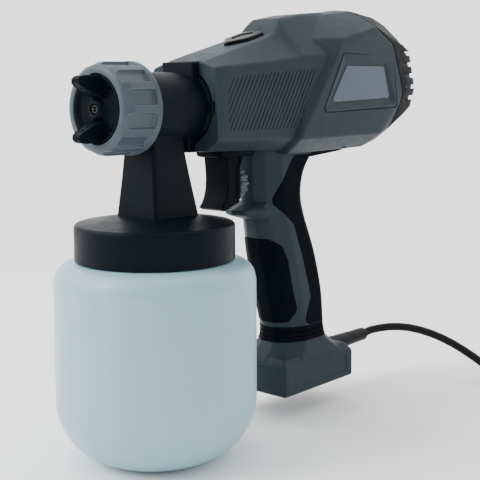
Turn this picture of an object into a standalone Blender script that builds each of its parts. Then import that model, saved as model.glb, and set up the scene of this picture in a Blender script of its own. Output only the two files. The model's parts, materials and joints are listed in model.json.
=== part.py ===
"""Electric HVLP paint spray gun, modelled as the separate pieces it is assembled from.

Frame: the origin is the centre of the jar's flat base, +Z is up along the jar's axis, the gun
sprays along -Y and is symmetric about X = 0. The tables below are in millimetres, the unit a
drawing of this gun would use. Heights marked "rel" are measured from the spray axis.
"""

import math

import bmesh
import bpy
from mathutils import Matrix, Vector

MM = 0.001

# Driving dimensions, in millimetres.
GAP = 0.3                # clearance between pieces that touch
JAR_RADIUS = 56.0
JAR_HEIGHT = 111.5       # base to the lid's lower rim
JAR_WALL = 2.0
LID_RADIUS = 44.5
LID_HEIGHT = 20.0
SPRAY_Z = 194.5          # height of the spray axis
BARREL_RADIUS = 19.5
SOCKET_RADIUS = 21.6     # bore of the housing that takes the barrel
NUT_RADIUS = 25.2
NUT_FRONT_Y = -41.0
NUT_REAR_Y = -16.4
CAP_RADIUS = 18.1
FRONT_Y = 23.5           # front face of the housing
REAR_SEAM_Y = 190.0      # joint between the shells and the rear cover
WALL = 2.5               # wall of the housing shells
MOTOR_REL_Z = 14.0       # motor axis above the spray axis
MOTOR_Z = SPRAY_Z + MOTOR_REL_Z
FOOT_HALF_WIDTH = 24.0
FOOT_FRONT_Y = 84.7
FOOT_REAR_Y = 155.0
FOOT_BOTTOM_Z = 15.5
FOOT_TOP_Z = 38.0
TRIGGER_PIVOT = Vector((0.0, 57.0, SPRAY_Z - 17.0))
CORD_DIAMETER = 5.5
COIL_CENTRE = Vector((96.0, 296.0, 0.0))
COIL_MEAN_RADIUS = 32.8
COIL_WIDTH = 22.6
COIL_HEIGHT = 11.4

FINISHES = {
    "slate": ((0.060, 0.085, 0.100), 0.45, 0.0),
    "slate_light": ((0.115, 0.150, 0.175), 0.45, 0.0),
    "black_plastic": ((0.012, 0.015, 0.020), 0.40, 0.0),
    "black_gloss": ((0.006, 0.008, 0.010), 0.12, 0.0),
    "soft_black": ((0.010, 0.012, 0.016), 0.75, 0.0),
    "milky_plastic": ((0.55, 0.66, 0.70), 0.35, 0.0),
    "plate": ((0.22, 0.30, 0.40), 0.35, 0.2),
    "steel": ((0.60, 0.60, 0.60), 0.25, 1.0),
    "brass": ((0.70, 0.50, 0.22), 0.30, 1.0),
    "copper": ((0.65, 0.30, 0.15), 0.35, 1.0),
    "board": ((0.02, 0.16, 0.07), 0.50, 0.0),
    "foam": ((0.05, 0.05, 0.055), 0.95, 0.0),
    "rubber": ((0.015, 0.015, 0.016), 0.65, 0.0),
    "aluminium_grey": ((0.55, 0.56, 0.58), 0.35, 1.0),
}

for old in list(bpy.data.objects):
    bpy.data.objects.remove(old, do_unlink=True)


# ------------------------------------------------------------------ helpers

def finish_material(finish):
    """The Principled material of one finish, made once."""
    if finish in bpy.data.materials:
        return bpy.data.materials[finish]
    colour, roughness, metallic = FINISHES[finish]
    material = bpy.data.materials.new(finish)
    material.use_nodes = True
    shader = material.node_tree.nodes["Principled BSDF"]
    shader.inputs["Base Color"].default_value = (*colour, 1.0)
    shader.inputs["Roughness"].default_value = roughness
    shader.inputs["Metallic"].default_value = metallic
    return material


def joint_frame(name, place):
    """An empty on a joint's axis; moving pieces hang from it."""
    empty = bpy.data.objects.new(name, None)
    empty.location = place * MM
    bpy.context.scene.collection.objects.link(empty)
    return empty


def add_piece(name, bm, finish, joint=None):
    """Turns a mesh in millimetres into a named object, hung from its joint if it has one."""
    place = joint.location.copy() if joint else Vector((0, 0, 0))
    bmesh.ops.scale(bm, vec=(MM, MM, MM), verts=bm.verts)
    bmesh.ops.translate(bm, vec=-place, verts=bm.verts)
    bmesh.ops.recalc_face_normals(bm, faces=bm.faces)
    mesh = bpy.data.meshes.new(name)
    bm.to_mesh(mesh)
    bm.free()
    mesh.shade_smooth()
    mesh.set_sharp_from_angle(angle=math.radians(32))
    mesh.materials.append(finish_material(finish))
    piece = bpy.data.objects.new(name, mesh)
    bpy.context.scene.collection.objects.link(piece)
    if joint:
        piece.parent = joint
    return piece


def add_cutter(name, bm):
    """A guide solid for a Boolean, left out of the model itself."""
    cutter = add_piece(name, bm, "steel")
    cutter.hide_render = True
    cutter.display_type = "WIRE"
    return cutter


def combine(piece, cutter, operation):
    """Adds one exact Boolean to a piece."""
    modifier = piece.modifiers.new(cutter.name, "BOOLEAN")
    modifier.operation = operation
    modifier.solver = "EXACT"
    modifier.object = cutter


def round_corners(points, radii, steps=3):
    """A 2-D polygon with an arc of the given radius at each corner (0 keeps the corner)."""
    rounded = []
    count = len(points)
    for index, radius in enumerate(radii):
        corner = Vector(points[index])
        if radius == 0:
            rounded.append(corner)
            continue
        before = (Vector(points[index - 1]) - corner).normalized()
        after = (Vector(points[(index + 1) % count]) - corner).normalized()
        half = before.angle(after) / 2
        centre = corner + (before + after).normalized() * (radius / math.sin(half))
        start = corner + before * (radius / math.tan(half)) - centre
        turn = start.angle_signed(corner + after * (radius / math.tan(half)) - centre)
        for step in range(steps + 1):
            angle = -turn * step / steps
            rounded.append(centre + Matrix.Rotation(angle, 2) @ start)
    return rounded


def ring_of(bm, points):
    return [bm.verts.new(point) for point in points]


def skin(bm, rings, closed_ends=True):
    """Joins rings of equal length by quads and closes the ends."""
    for low, high in zip(rings, rings[1:]):
        count = len(low)
        for index in range(count):
            after = (index + 1) % count
            bm.faces.new((low[index], low[after], high[after], high[index]))
    if closed_ends:
        bm.faces.new(rings[0])
        bm.faces.new(rings[-1])


def loft(rings_of_points, bm=None):
    bm = bm or bmesh.new()
    skin(bm, [ring_of(bm, points) for points in rings_of_points])
    return bm


def box(low, high, bm=None):
    """An axis-aligned box."""
    (x0, y0, z0), (x1, y1, z1) = low, high
    rings = [
        [(x0, y0, z), (x1, y0, z), (x1, y1, z), (x0, y1, z)]
        for z in (z0, z1)
    ]
    return loft(rings, bm)


def turned(profile, centre, axis, steps, bm=None):
    """Turns a closed (radius, distance along axis) profile; a zero radius makes a pole."""
    bm = bm or bmesh.new()
    along = Vector(axis)
    side = Vector((1, 0, 0)) if abs(along.x) < 0.5 else Vector((0, 0, 1))
    other = along.cross(side)
    rings = []
    for radius, distance in profile:
        base = Vector(centre) + along * distance
        if radius == 0:
            rings.append([bm.verts.new(base)])
            continue
        rings.append([
            bm.verts.new(base + (side * math.cos(a) + other * math.sin(a)) * radius)
            for a in (2 * math.pi * (k + 0.5) / steps for k in range(steps))
        ])
    pairs = list(zip(rings, rings[1:]))
    if len(rings[0]) > 1:
        pairs.append((rings[-1], rings[0]))
    for low, high in pairs:
        if len(low) == 1 and len(high) == 1:
            continue
        for k in range(steps):
            n = (k + 1) % steps
            corners = [low[k % len(low)], low[n % len(low)], high[n % len(high)], high[k % len(high)]]
            unique = list(dict.fromkeys(corners))
            bm.faces.new(unique)
    return bm


def tube_profile(outer, inner, start, end, chamfer=0.0):
    """Profile of a plain ring, chamfered on its outer edges."""
    return [
        (inner, start), (outer - chamfer, start), (outer, start + chamfer),
        (outer, end - chamfer), (outer - chamfer, end), (inner, end),
    ] if chamfer else [(inner, start), (outer, start), (outer, end), (inner, end)]


def rod_profile(radius, start, end, chamfer=0.0):
    """Profile of a solid rod."""
    return [
        (0, start), (radius - chamfer, start), (radius, start + chamfer),
        (radius, end - chamfer), (radius - chamfer, end), (0, end),
    ] if chamfer else [(0, start), (radius, start), (radius, end), (0, end)]


Y_AXIS = (0, 1, 0)
Z_AXIS = (0, 0, 1)
X_AXIS = (1, 0, 0)
ON_SPRAY_AXIS = (0, 0, SPRAY_Z)
ON_MOTOR_AXIS = (0, 0, MOTOR_Z)


# ------------------------------------------------------------------ jar and head

def jar_profile():
    """Outer wall from the base up to the mouth, then the inner wall back down."""
    corner_radius = 34.0
    wall_top = 99.5
    neck_radius = 41.2
    arc = [math.pi / 2 * k / 4 for k in range(5)]
    outer = [(0, 0.0)] + [
        (JAR_RADIUS - corner_radius * (1 - math.sin(a)), corner_radius * (1 - math.cos(a)))
        for a in arc
    ]
    outer += [(JAR_RADIUS, wall_top), (54.6, 105.0), (51.2, 108.6), (46.0, 110.6), (neck_radius, 111.0)]
    outer += [(neck_radius, JAR_HEIGHT + 12.0), (neck_radius - JAR_WALL, JAR_HEIGHT + 12.0)]
    inner = [
        (neck_radius - JAR_WALL, 109.0), (45.0, 108.4), (49.8, 106.8), (52.8, 103.9),
        (JAR_RADIUS - JAR_WALL, 99.0),
    ]
    inner += [
        (JAR_RADIUS - JAR_WALL - (corner_radius - JAR_WALL) * (1 - math.sin(a)),
         JAR_WALL + (corner_radius - JAR_WALL) * (1 - math.cos(a)))
        for a in reversed(arc)
    ]
    return outer + inner + [(0, JAR_WALL)]


def make_jar(joint):
    add_piece("jar", turned(jar_profile(), (0, 0, 0), Z_AXIS, 32), "milky_plastic", joint)


def square_ring(half_x, half_y, z, corner=2.0):
    """A rounded rectangle around the jar's axis, for the neck."""
    points = [(-half_x, -half_y), (half_x, -half_y), (half_x, half_y), (-half_x, half_y)]
    outline = round_corners(points, [corner] * 4, 2)
    return [(p.x, p.y, z) for p in outline]


def make_spray_head(joint):
    """Lid, neck and barrel in one moulding, with the fluid tube inside the barrel."""
    rim, top = JAR_HEIGHT, JAR_HEIGHT + LID_HEIGHT
    dome = top + 4.2
    lid = turned([
        (42.0, rim), (LID_RADIUS, rim), (LID_RADIUS, top - 1.6), (LID_RADIUS - 0.6, top - 0.5),
        (LID_RADIUS - 2.0, top), (38.0, top + 1.0), (28.0, top + 2.9), (18.0, dome), (0, dome + 0.2),
        (0, top - 2.6), (42.0, top - 3.6),
    ], (0, 0, 0), Z_AXIS, 32)
    head = add_piece("spray_head", lid, "black_plastic", joint)

    neck_levels = (
        (18.6, 18.2, top - 1.0), (17.2, 16.8, top + 5.2), (15.8, 15.4, top + 8.0),
        (12.9, 12.4, SPRAY_Z - 38.0), (12.1, 11.4, SPRAY_Z - 26.0), (11.4, 10.8, SPRAY_Z - 10.0),
    )
    combine(head, add_cutter("neck_form", loft([square_ring(*level) for level in neck_levels])), "UNION")

    barrel = turned([
        (0, -34.5), (9.0, -34.5), (9.0, -30.0), (17.0, -30.0), (17.0, -16.0), (BARREL_RADIUS, -16.0),
        (BARREL_RADIUS, 16.0), (21.0, 20.0), (21.0, 44.0), (0, 44.0),
    ], ON_SPRAY_AXIS, Y_AXIS, 28)
    combine(head, add_cutter("barrel_form", barrel), "UNION")
    combine(head, add_cutter("top_latch_form", box(
        (-12.0, 18.5, SPRAY_Z + 12), (12.0, 38, SPRAY_Z + 25.2))), "UNION")
    combine(head, add_cutter("low_latch_form", box(
        (-8.5, 19.0, SPRAY_Z - 25.2), (8.5, 34, SPRAY_Z - 12))), "UNION")
    combine(head, add_cutter("side_lugs_form", box(
        (-23.9, 22.0, SPRAY_Z - 3.5), (23.9, 36.0, SPRAY_Z + 3.0))), "UNION")

    air_bore = turned(tube_profile(16.5, 7.0, -24.0, 45.0), ON_SPRAY_AXIS, Y_AXIS, 16)
    combine(head, add_cutter("air_bore", air_bore), "DIFFERENCE")
    air_outlets = bmesh.new()
    for k in range(6):
        a = math.pi * (2 * k + 1) / 6
        place = (12.6 * math.cos(a), 0, SPRAY_Z + 12.6 * math.sin(a))
        turned(rod_profile(2.4, -32.0, -20.0), place, Y_AXIS, 6, air_outlets)
    combine(head, add_cutter("air_outlets", air_outlets), "DIFFERENCE")
    fluid_web = loft([square_ring(5.0, 8.0, z, 0.5) for z in (SPRAY_Z - 19.0, SPRAY_Z - 2.0)])
    combine(head, add_cutter("fluid_web_form", fluid_web), "UNION")
    rod_bore = turned([
        (0, -36.0), (4.8, -36.0), (4.8, -20.0), (2.0, -20.0), (2.0, 20.0), (4.3, 20.0), (4.3, 50.0), (0, 50.0),
    ], ON_SPRAY_AXIS, Y_AXIS, 14)
    combine(head, add_cutter("fluid_bore", rod_bore), "DIFFERENCE")
    rise = turned(rod_profile(2.0, top - 8.0, SPRAY_Z), (0, 0, 0), Z_AXIS, 8)
    combine(head, add_cutter("fluid_rise", rise), "DIFFERENCE")
    tube_seat = turned(rod_profile(4.5, top - 8.0, top + 9.0), (0, 0, 0), Z_AXIS, 12)
    combine(head, add_cutter("tube_seat", tube_seat), "DIFFERENCE")


def make_lid_parts(joint):
    """Gasket on the jar's mouth, suction tube with its filter, and the pressure valve."""
    seat = JAR_HEIGHT + 12.0 + GAP
    gasket = turned(tube_profile(41.0, 36.5, seat, seat + 2.0), (0, 0, 0), Z_AXIS, 24)
    add_piece("lid_gasket", gasket, "rubber", joint)

    straight_top = Vector((0, 0, JAR_HEIGHT + LID_HEIGHT + 8.0))
    bend_low = Vector((0, -20.0, 14.0))
    centres = []
    for k in range(9):
        t = k / 8
        drop = straight_top.lerp(Vector((0, 0, bend_low.z)), t)
        bend = max(0.0, t - 0.2) / 0.8
        ease = bend * bend * (3 - 2 * bend)
        centres.append(drop + Vector((0, bend_low.y * ease, 0)))
    tube = bmesh.new()
    steps = 10
    walls = []
    for radius in (4.0, 2.6):
        walls.append([
            [tube.verts.new(c + Vector((radius * math.cos(a), radius * math.sin(a), 0)))
             for a in (2 * math.pi * k / steps for k in range(steps))]
            for c in centres
        ])
    for wall in walls:
        skin(tube, wall, closed_ends=False)
    for end in (0, -1):
        skin(tube, [walls[0][end], walls[1][end]], closed_ends=False)
    add_piece("suction_tube", tube, "milky_plastic", joint)

    cage = [(0, 3.7), (5.4, 3.7), (6.4, 5.0), (6.4, 18.0), (4.9, 20.0), (4.9, 13.6), (0, 13.6)]
    add_piece("suction_filter", turned(cage, (0, bend_low.y, 0), Z_AXIS, 14), "black_plastic", joint)

    valve_top = JAR_HEIGHT + LID_HEIGHT - 3.7
    valve = turned([(0, valve_top - 3.0), (7.0, valve_top - 3.0), (7.0, valve_top - 1.0),
                    (3.0, valve_top - GAP), (0, valve_top - GAP)], (22.0, 12.0, 0), Z_AXIS, 14)
    add_piece("pressure_valve", valve, "rubber", joint)


def make_nozzle(joint):
    """Fluid nozzle with its seal in the front of the barrel."""
    nozzle = turned([
        (1.45, -41.5), (2.2, -41.5), (2.3, -39.2), (6.4, -36.7), (6.8, -36.4), (6.8, -34.9), (4.4, -34.9),
        (4.4, -21.5), (2.6, -21.5), (2.6, -36.0), (1.45, -38.0),
    ], ON_SPRAY_AXIS, Y_AXIS, 16)
    add_piece("fluid_nozzle", nozzle, "brass", joint)
    seal = turned(tube_profile(4.0, 1.5, 20.3, 23.8), ON_SPRAY_AXIS, Y_AXIS, 14)
    add_piece("needle_packing", seal, "rubber", joint)
    ring = turned(tube_profile(9.0, 7.2, -36.4, -34.8), ON_SPRAY_AXIS, Y_AXIS, 20)
    add_piece("nozzle_seal", ring, "rubber", joint)


def make_needle(joint):
    needle = turned([
        (0, -43.0), (0.9, -40.5), (1.1, -38.0), (1.1, 38.0), (3.4, 38.0), (3.4, 42.0), (0, 42.0),
    ], ON_SPRAY_AXIS, Y_AXIS, 12)
    add_piece("needle", needle, "steel", joint)


def make_coil_spring(name, centre, axis, radius, length, turns, wire, joint=None):
    """A compression spring as one round wire."""
    along = Vector(axis)
    side = Vector((1, 0, 0)) if abs(along.x) < 0.5 else Vector((0, 0, 1))
    other = along.cross(side)
    path = bpy.data.curves.new(name, "CURVE")
    path.dimensions = "3D"
    path.bevel_depth = wire / 2 * MM
    path.bevel_resolution = 0
    path.use_fill_caps = True
    per_turn = 7
    spline = path.splines.new("POLY")
    spline.points.add(turns * per_turn)
    place = joint.location if joint else Vector((0, 0, 0))
    for k, point in enumerate(spline.points):
        a = 2 * math.pi * k / per_turn
        shift = along * (length * k / (turns * per_turn))
        at = Vector(centre) + shift + (side * math.cos(a) + other * math.sin(a)) * radius
        point.co = (*(at * MM - place), 1.0)
    spring = bpy.data.objects.new(name, path)
    path.materials.append(finish_material("steel"))
    bpy.context.scene.collection.objects.link(spring)
    if joint:
        spring.parent = joint


def make_air_cap(joint):
    """Round cap with a pair of horns that shape the fan."""
    body = turned([
        (9.4, -33.4), (CAP_RADIUS - 1.0, -33.4), (CAP_RADIUS, -34.4), (CAP_RADIUS, -39.6),
        (CAP_RADIUS - 0.8, -40.4), (14.0, -39.8), (8.0, -39.0), (5.2, -40.0), (4.4, -41.6), (2.9, -42.2),
        (2.9, -39.6), (7.2, -37.2), (9.4, -36.9),
    ], ON_SPRAY_AXIS, Y_AXIS, 24)
    cap = add_piece("air_cap", body, "black_plastic", joint)
    for side in (1, -1):
        base = [(6.6, -38.8), (17.2, -38.8), (17.4, -50.0), (15.8, -54.2), (13.2, -54.0), (8.4, -46.0)]
        rings = [
            [(x * (0.55 if y < -50 else 1.0), y, SPRAY_Z + side * z) for z, y in base]
            for x in (-4.4, 4.4)
        ]
        combine(cap, add_cutter(f"horn_form_{side}", loft(rings)), "UNION")
    holes = bmesh.new()
    for x, z in ((9.5, 9.5), (9.5, -9.5), (-9.5, 9.5), (-9.5, -9.5)):
        turned(rod_profile(1.1, -44.0, -30.0), (x, 0, SPRAY_Z + z), Y_AXIS, 8, holes)
    combine(cap, add_cutter("cap_holes", holes), "DIFFERENCE")


def make_union_nut(joint):
    """Ring nut with a lipped front, a rear flange and shallow flutes."""
    body = turned([
        (17.4, NUT_REAR_Y), (NUT_RADIUS, NUT_REAR_Y), (NUT_RADIUS, NUT_REAR_Y - 2.6),
        (NUT_RADIUS - 0.5, NUT_REAR_Y - 3.2), (NUT_RADIUS - 0.5, NUT_FRONT_Y + 5.6),
        (NUT_RADIUS - 1.6, NUT_FRONT_Y + 2.2), (NUT_RADIUS - 3.4, NUT_FRONT_Y + 0.4),
        (NUT_RADIUS - 4.6, NUT_FRONT_Y), (18.5, NUT_FRONT_Y), (18.5, -33.0), (17.4, -33.0),
    ], ON_SPRAY_AXIS, Y_AXIS, 32)
    nut = add_piece("union_nut", body, "slate_light", joint)
    flutes = bmesh.new()
    count = 12
    half = math.radians(9.5)
    for k in range(count):
        mid = 2 * math.pi * (k + 0.5) / count
        rings = []
        for y in (NUT_FRONT_Y + 6.4, NUT_REAR_Y - 3.4):
            ring = []
            for angle, radius in ((-half, 23.7), (half, 23.7), (half, 27.0), (-half, 27.0)):
                a = mid + angle
                ring.append((radius * math.cos(a), y, SPRAY_Z + radius * math.sin(a)))
            rings.append(ring)
        loft(rings, flutes)
    combine(nut, add_cutter("nut_flutes", flutes), "DIFFERENCE")


# ------------------------------------------------------------------ housing

# Body stations: y, top half-width, top, shoulder half-width, shoulder, side half-width,
# side's lower edge, belly half-width, belly. Heights are rel. The nose runs from the front
# face into the turbine shell, which is wider and starts on a raked plane.
NOSE = (
    (FRONT_Y, 15.0, 25.0, 25.0, 21.8, 27.0, -18.5, 17.0, -25.0),
    (40.0, 15.0, 30.0, 27.0, 23.0, 28.3, -18.8, 17.0, -25.3),
    (62.0, 14.5, 36.0, 29.3, 25.0, 30.3, -19.0, 18.0, -25.8),
    (88.0, 13.5, 43.5, 31.8, 28.0, 32.6, -19.3, 19.0, -26.8),
    (94.5, 10.5, 52.5, 32.4, 29.0, 33.0, -19.3, 19.5, -27.0),
    (112.0, 10.5, 55.8, 33.6, 30.5, 34.0, -19.4, 20.0, -27.3),
    (138.0, 10.5, 58.4, 34.2, 33.0, 34.6, -19.4, 20.0, -28.0),
)
TURBINE = (
    (140.0, 15.0, 60.6, 36.2, 41.0, 37.4, -19.6, 23.0, -30.0),
    (172.0, 15.0, 61.4, 35.6, 43.0, 36.6, -18.6, 22.0, -28.0),
    (REAR_SEAM_Y, 14.5, 58.0, 33.0, 40.0, 34.2, -15.0, 19.5, -23.5),
)
TURBINE_LIP = (84.0, 15.0, 59.6, 35.0, 40.0, 36.0, -19.6, 22.0, -28.0)
LIP_RAKE = 0.735         # how far the turbine shell's front edge leans back per unit of height
LIP_FLARE = 0.4
REAR_COVER = (
    (REAR_SEAM_Y + GAP, 14.4, 57.6, 32.7, 39.8, 33.9, -14.8, 19.4, -23.1),
    (210.0, 14.0, 52.0, 31.0, 37.5, 32.0, -10.0, 18.0, -16.0),
    (225.0, 13.5, 48.2, 27.0, 35.5, 28.0, -3.0, 16.0, -8.0),
    (230.5, 11.5, 44.5, 22.5, 32.5, 23.5, 1.5, 13.0, -2.5),
)


def body_outline(station, inset=0.0, flat_x=GAP / 2, steps=2):
    """Half of the body's section, from the top of the seam round to the bottom of it."""
    _, top_x, top, shoulder_x, shoulder, side_x, low, belly_x, belly = station
    shrink = inset * 0.55
    points = [
        (flat_x, top - inset), (top_x - shrink, top - inset), (shoulder_x - inset, shoulder - shrink * 0.6),
        (side_x - inset, low + shrink * 0.6), (belly_x - shrink, belly + inset), (flat_x, belly + inset),
    ]
    return round_corners(points, [0, 7, 7, 4, 4, 0], steps)


def body_ring(station, side, inset=0.0, flat_x=GAP / 2, raked=False):
    ring = []
    for point in body_outline(station, inset, flat_x):
        y = station[0]
        if raked:
            y += LIP_RAKE * (point.y - TURBINE_LIP[6]) - LIP_FLARE * (TURBINE_LIP[5] - point.x)
        ring.append((side * point.x, y, SPRAY_Z + point.y))
    return ring


# Handle stations: height above the jar's base, front, rear, half-width.
HANDLE = (
    (33.5, 93.0, 143.0, 19.5),
    (38.5, 94.5, 142.0, 18.2),
    (52.0, 95.5, 140.0, 17.0),
    (75.0, 90.0, 137.0, 17.6),
    (98.5, 83.5, 130.5, 17.6),
    (115.0, 80.0, 124.5, 16.6),
    (125.5, 77.5, 120.6, 15.8),
    (138.0, 75.5, 118.0, 15.2),
    (152.0, 75.0, 120.5, 15.4),
    (164.0, 75.0, 128.5, 16.2),
    (176.0, 75.0, 140.0, 17.0),
)


def handle_ring(station, side, inset=0.0, flat_x=GAP / 2):
    """Half of the handle's section: a rounded front and rear joined by flat flanks."""
    z, front, rear, width = station
    front, rear, width = front + inset, rear - inset, width - inset
    points = [
        (flat_x, front), (width * 0.62, front + 0.5), (width, front + 9.0),
        (width, rear - 9.0), (width * 0.62, rear - 0.5), (flat_x, rear),
    ]
    outline = round_corners(points, [0, 5, 6, 6, 5, 0], 2)
    return [(side * p.x, p.y, z) for p in outline]


def foot_ring(z, inset, side, flat_x=GAP / 2):
    front, rear, width = FOOT_FRONT_Y + inset, FOOT_REAR_Y - inset, FOOT_HALF_WIDTH - inset
    points = [(flat_x, front), (width, front), (width, rear), (flat_x, rear)]
    outline = round_corners(points, [0, 4, 4, 0], 2)
    return [(side * p.x, p.y, z) for p in outline]


def fin_ring(z, reach, half_width, side):
    """Half of the finger guard's plan: a tongue in front of the handle."""
    tip_y = 58.0
    points = [(GAP / 2, 92.0)]
    points += [(half_width, 92.0), (half_width * 0.95, 76.0), (half_width * 0.62, tip_y + reach + 4.0)]
    points += [(GAP / 2, tip_y + reach)]
    outline = round_corners(points, [0, 0, 6, 5, 0], 2)
    return [(side * p.x, p.y, z) for p in outline]


# Housing screws: y, height, boss length on each side of the seam, depth of the head's seat.
SCREWS = (
    (52.0, SPRAY_Z + 25.5, 18.0, 12.0), (101.0, SPRAY_Z + 47.0, 13.0, 7.0),
    (145.0, SPRAY_Z - 24.0, 24.0, 17.0), (184.5, SPRAY_Z + 47.3, 20.3, 13.0),
    (108.0, 118.0, 14.4, 9.5), (122.0, 63.0, 15.6, 9.5), (96.0, 27.0, 22.6, 17.0), (144.0, 27.0, 22.6, 17.0),
)


def cavity(name, side):
    """The hollow inside one shell: body, handle and foot."""
    past_seam = -1.0
    inner = [
        (46.0, *NOSE[1][1:]), NOSE[2], NOSE[3], (97.0, *NOSE[4][1:]), (136.0, *NOSE[6][1:]),
        (142.0, *TURBINE[0][1:]), TURBINE[1], (REAR_SEAM_Y + 2.0, *TURBINE[2][1:]),
    ]
    body = loft([body_ring(station, side, WALL, past_seam) for station in inner])
    grip = loft([handle_ring(station, side, WALL, past_seam) for station in HANDLE[:-1]])
    foot = loft([foot_ring(z, WALL, side, past_seam) for z in (FOOT_BOTTOM_Z + WALL, FOOT_TOP_Z - WALL)])
    return [
        add_cutter(f"{name}_body_cavity", body),
        add_cutter(f"{name}_grip_cavity", grip),
        add_cutter(f"{name}_foot_cavity", foot),
    ]


def shell_form(name, side):
    """Outer form of one shell: nose, turbine shell, handle, foot and finger guard."""
    shell = add_piece(name, loft([body_ring(station, side) for station in NOSE]), "slate")
    turbine = [body_ring(TURBINE_LIP, side, raked=True)]
    turbine += [body_ring(station, side) for station in TURBINE]
    forms = [
        ("turbine_form", loft(turbine)),
        ("handle_form", loft([handle_ring(station, side) for station in HANDLE])),
        ("foot_form", loft([
            foot_ring(FOOT_BOTTOM_Z, 1.2, side), foot_ring(FOOT_BOTTOM_Z + 1.2, 0, side),
            foot_ring(FOOT_TOP_Z - 3.0, 0, side), foot_ring(FOOT_TOP_Z, 3.0, side),
        ])),
        ("fin_form", loft([
            fin_ring(125.6, 1.5, 11.0, side), fin_ring(131.2, 0, 13.0, side),
            fin_ring(133.4, 1.0, 12.0, side), fin_ring(136.0, 12.0, 11.0, side),
        ])),
    ]
    for form_name, bm in forms:
        combine(shell, add_cutter(f"{name}_{form_name}", bm), "UNION")
    return shell


def front_openings(name, side):
    """Barrel socket and the notches for the head's latch blocks and lugs."""
    socket = turned(rod_profile(SOCKET_RADIUS, FRONT_Y - 2.0, 47.5), ON_SPRAY_AXIS, Y_AXIS, 28)
    notches = [
        box((-12.4, FRONT_Y - 2.0, SPRAY_Z + 14.0), (12.4, 40.0, SPRAY_Z + 25.6)),
        box((-8.9, FRONT_Y - 2.0, SPRAY_Z - 27.0), (8.9, 36.0, SPRAY_Z - 14.0)),
        box((-24.3, FRONT_Y - 2.0, SPRAY_Z - 3.9), (24.3, 38.0, SPRAY_Z + 3.4)),
    ]
    return [add_cutter(f"{name}_socket", socket)] + [
        add_cutter(f"{name}_notch_{k}", notch) for k, notch in enumerate(notches)
    ]


BUTTON_RISE = math.radians(16.0)
BUTTON_CENTRE = Vector((0.0, 74.0, SPRAY_Z + 39.5))


def button_outline(half_length, half_width):
    """The button's elongated diamond, in its own plane."""
    return [
        (0.0, -half_length), (half_width, -half_length * 0.35), (half_width, half_length * 0.55),
        (0.0, half_length), (-half_width, half_length * 0.55), (-half_width, -half_length * 0.35),
    ]


def button_solid(half_length, half_width, low, high, top_shrink=1.0):
    """The diamond raised along the normal of the sloping top."""
    tilt = Matrix.Rotation(BUTTON_RISE, 3, "X")
    rings = []
    for height, scale in ((low, 1.0), (high - 0.8, 1.0), (high, top_shrink)):
        outline = button_outline(half_length * scale, half_width * scale)
        rings.append([BUTTON_CENTRE + tilt @ Vector((x, y, height)) for x, y in outline])
    return loft(rings)


CORD_EXIT = Vector((0.0, FOOT_REAR_Y, 30.5))
SKIN_DEPTH = 1.3         # depth of the seats for the handle's soft skins
SKIN_PROUD = 0.35


def handle_loop(station, inset):
    """The handle's whole section, both halves."""
    near = handle_ring(station, 1, inset, 0.0)
    far = [(-x, y, z) for x, y, z in reversed(near)][1:-1]
    return near + far


def handle_solid(inset):
    return loft([handle_loop(station, inset) for station in HANDLE])


def prism(outline, low_x, high_x):
    """Extrudes a (y, height) outline along X."""
    return loft([[(x, y, z) for y, z in outline] for x in (low_x, high_x)])


def grown(outline, grow):
    """The same outline with every edge moved outwards by the same distance."""
    points = [Vector(point) for point in outline]
    turn = sum(a.x * b.y - b.x * a.y for a, b in zip(points, points[1:] + points[:1]))
    outwards = 1.0 if turn > 0 else -1.0
    moved = []
    for before, point, after in zip(points[-1:] + points[:-1], points, points[1:] + points[:1]):
        first, second = (point - before).normalized(), (after - point).normalized()
        normals = [Vector((edge.y, -edge.x)) * outwards for edge in (first, second)]
        middle = (normals[0] + normals[1]).normalized()
        moved.append(tuple(point + middle * (grow / middle.dot(normals[0]))))
    return moved


PAD_OUTLINE = ((70.0, 113.5), (92.0, 112.5), (101.0, 107.5), (105.5, 98.0), (110.5, 78.0), (114.0, 65.0),
               (109.0, 57.5), (84.0, 57.5))
STRAP_OUTLINE = ((103.0, 163.5), (85.5, 136.0), (103.0, 121.0), (118.5, 73.5), (112.0, 56.3),
                 (150.0, 56.3), (150.0, 163.5))
COLLAR_OUTLINE = ((80.0, 49.8), (160.0, 49.8), (160.0, 55.5), (80.0, 55.5))
BADGE_OUTLINE = ((115.5, 1.5), (131.5, 24.0), (173.5, 24.0), (180.5, 3.5))
BADGE_FRAME = ((107.5, -3.0), (127.0, 30.0), (183.0, 29.0), (187.5, -1.0))


def seat_cutter(name, outline, low_x, high_x):
    """What is cut from the shells so that a skin of the given outline sits in them."""
    seat = add_cutter(name, prism(grown(outline, GAP), low_x, high_x))
    core = add_cutter(f"{name}_core", handle_solid(SKIN_DEPTH))
    combine(seat, core, "DIFFERENCE")
    return seat


def make_skin(name, outline, low_x, high_x, finish):
    """A soft skin that follows the handle's surface inside the given outline."""
    skin_piece = add_piece(name, handle_solid(-SKIN_PROUD), finish)
    combine(skin_piece, add_cutter(f"{name}_outline", prism(outline, low_x, high_x)), "INTERSECT")
    combine(skin_piece, add_cutter(f"{name}_core", handle_solid(SKIN_DEPTH - GAP)), "DIFFERENCE")


def badge_loop(outline, x):
    return [(x, y, SPRAY_Z + rel) for y, rel in outline]


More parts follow.
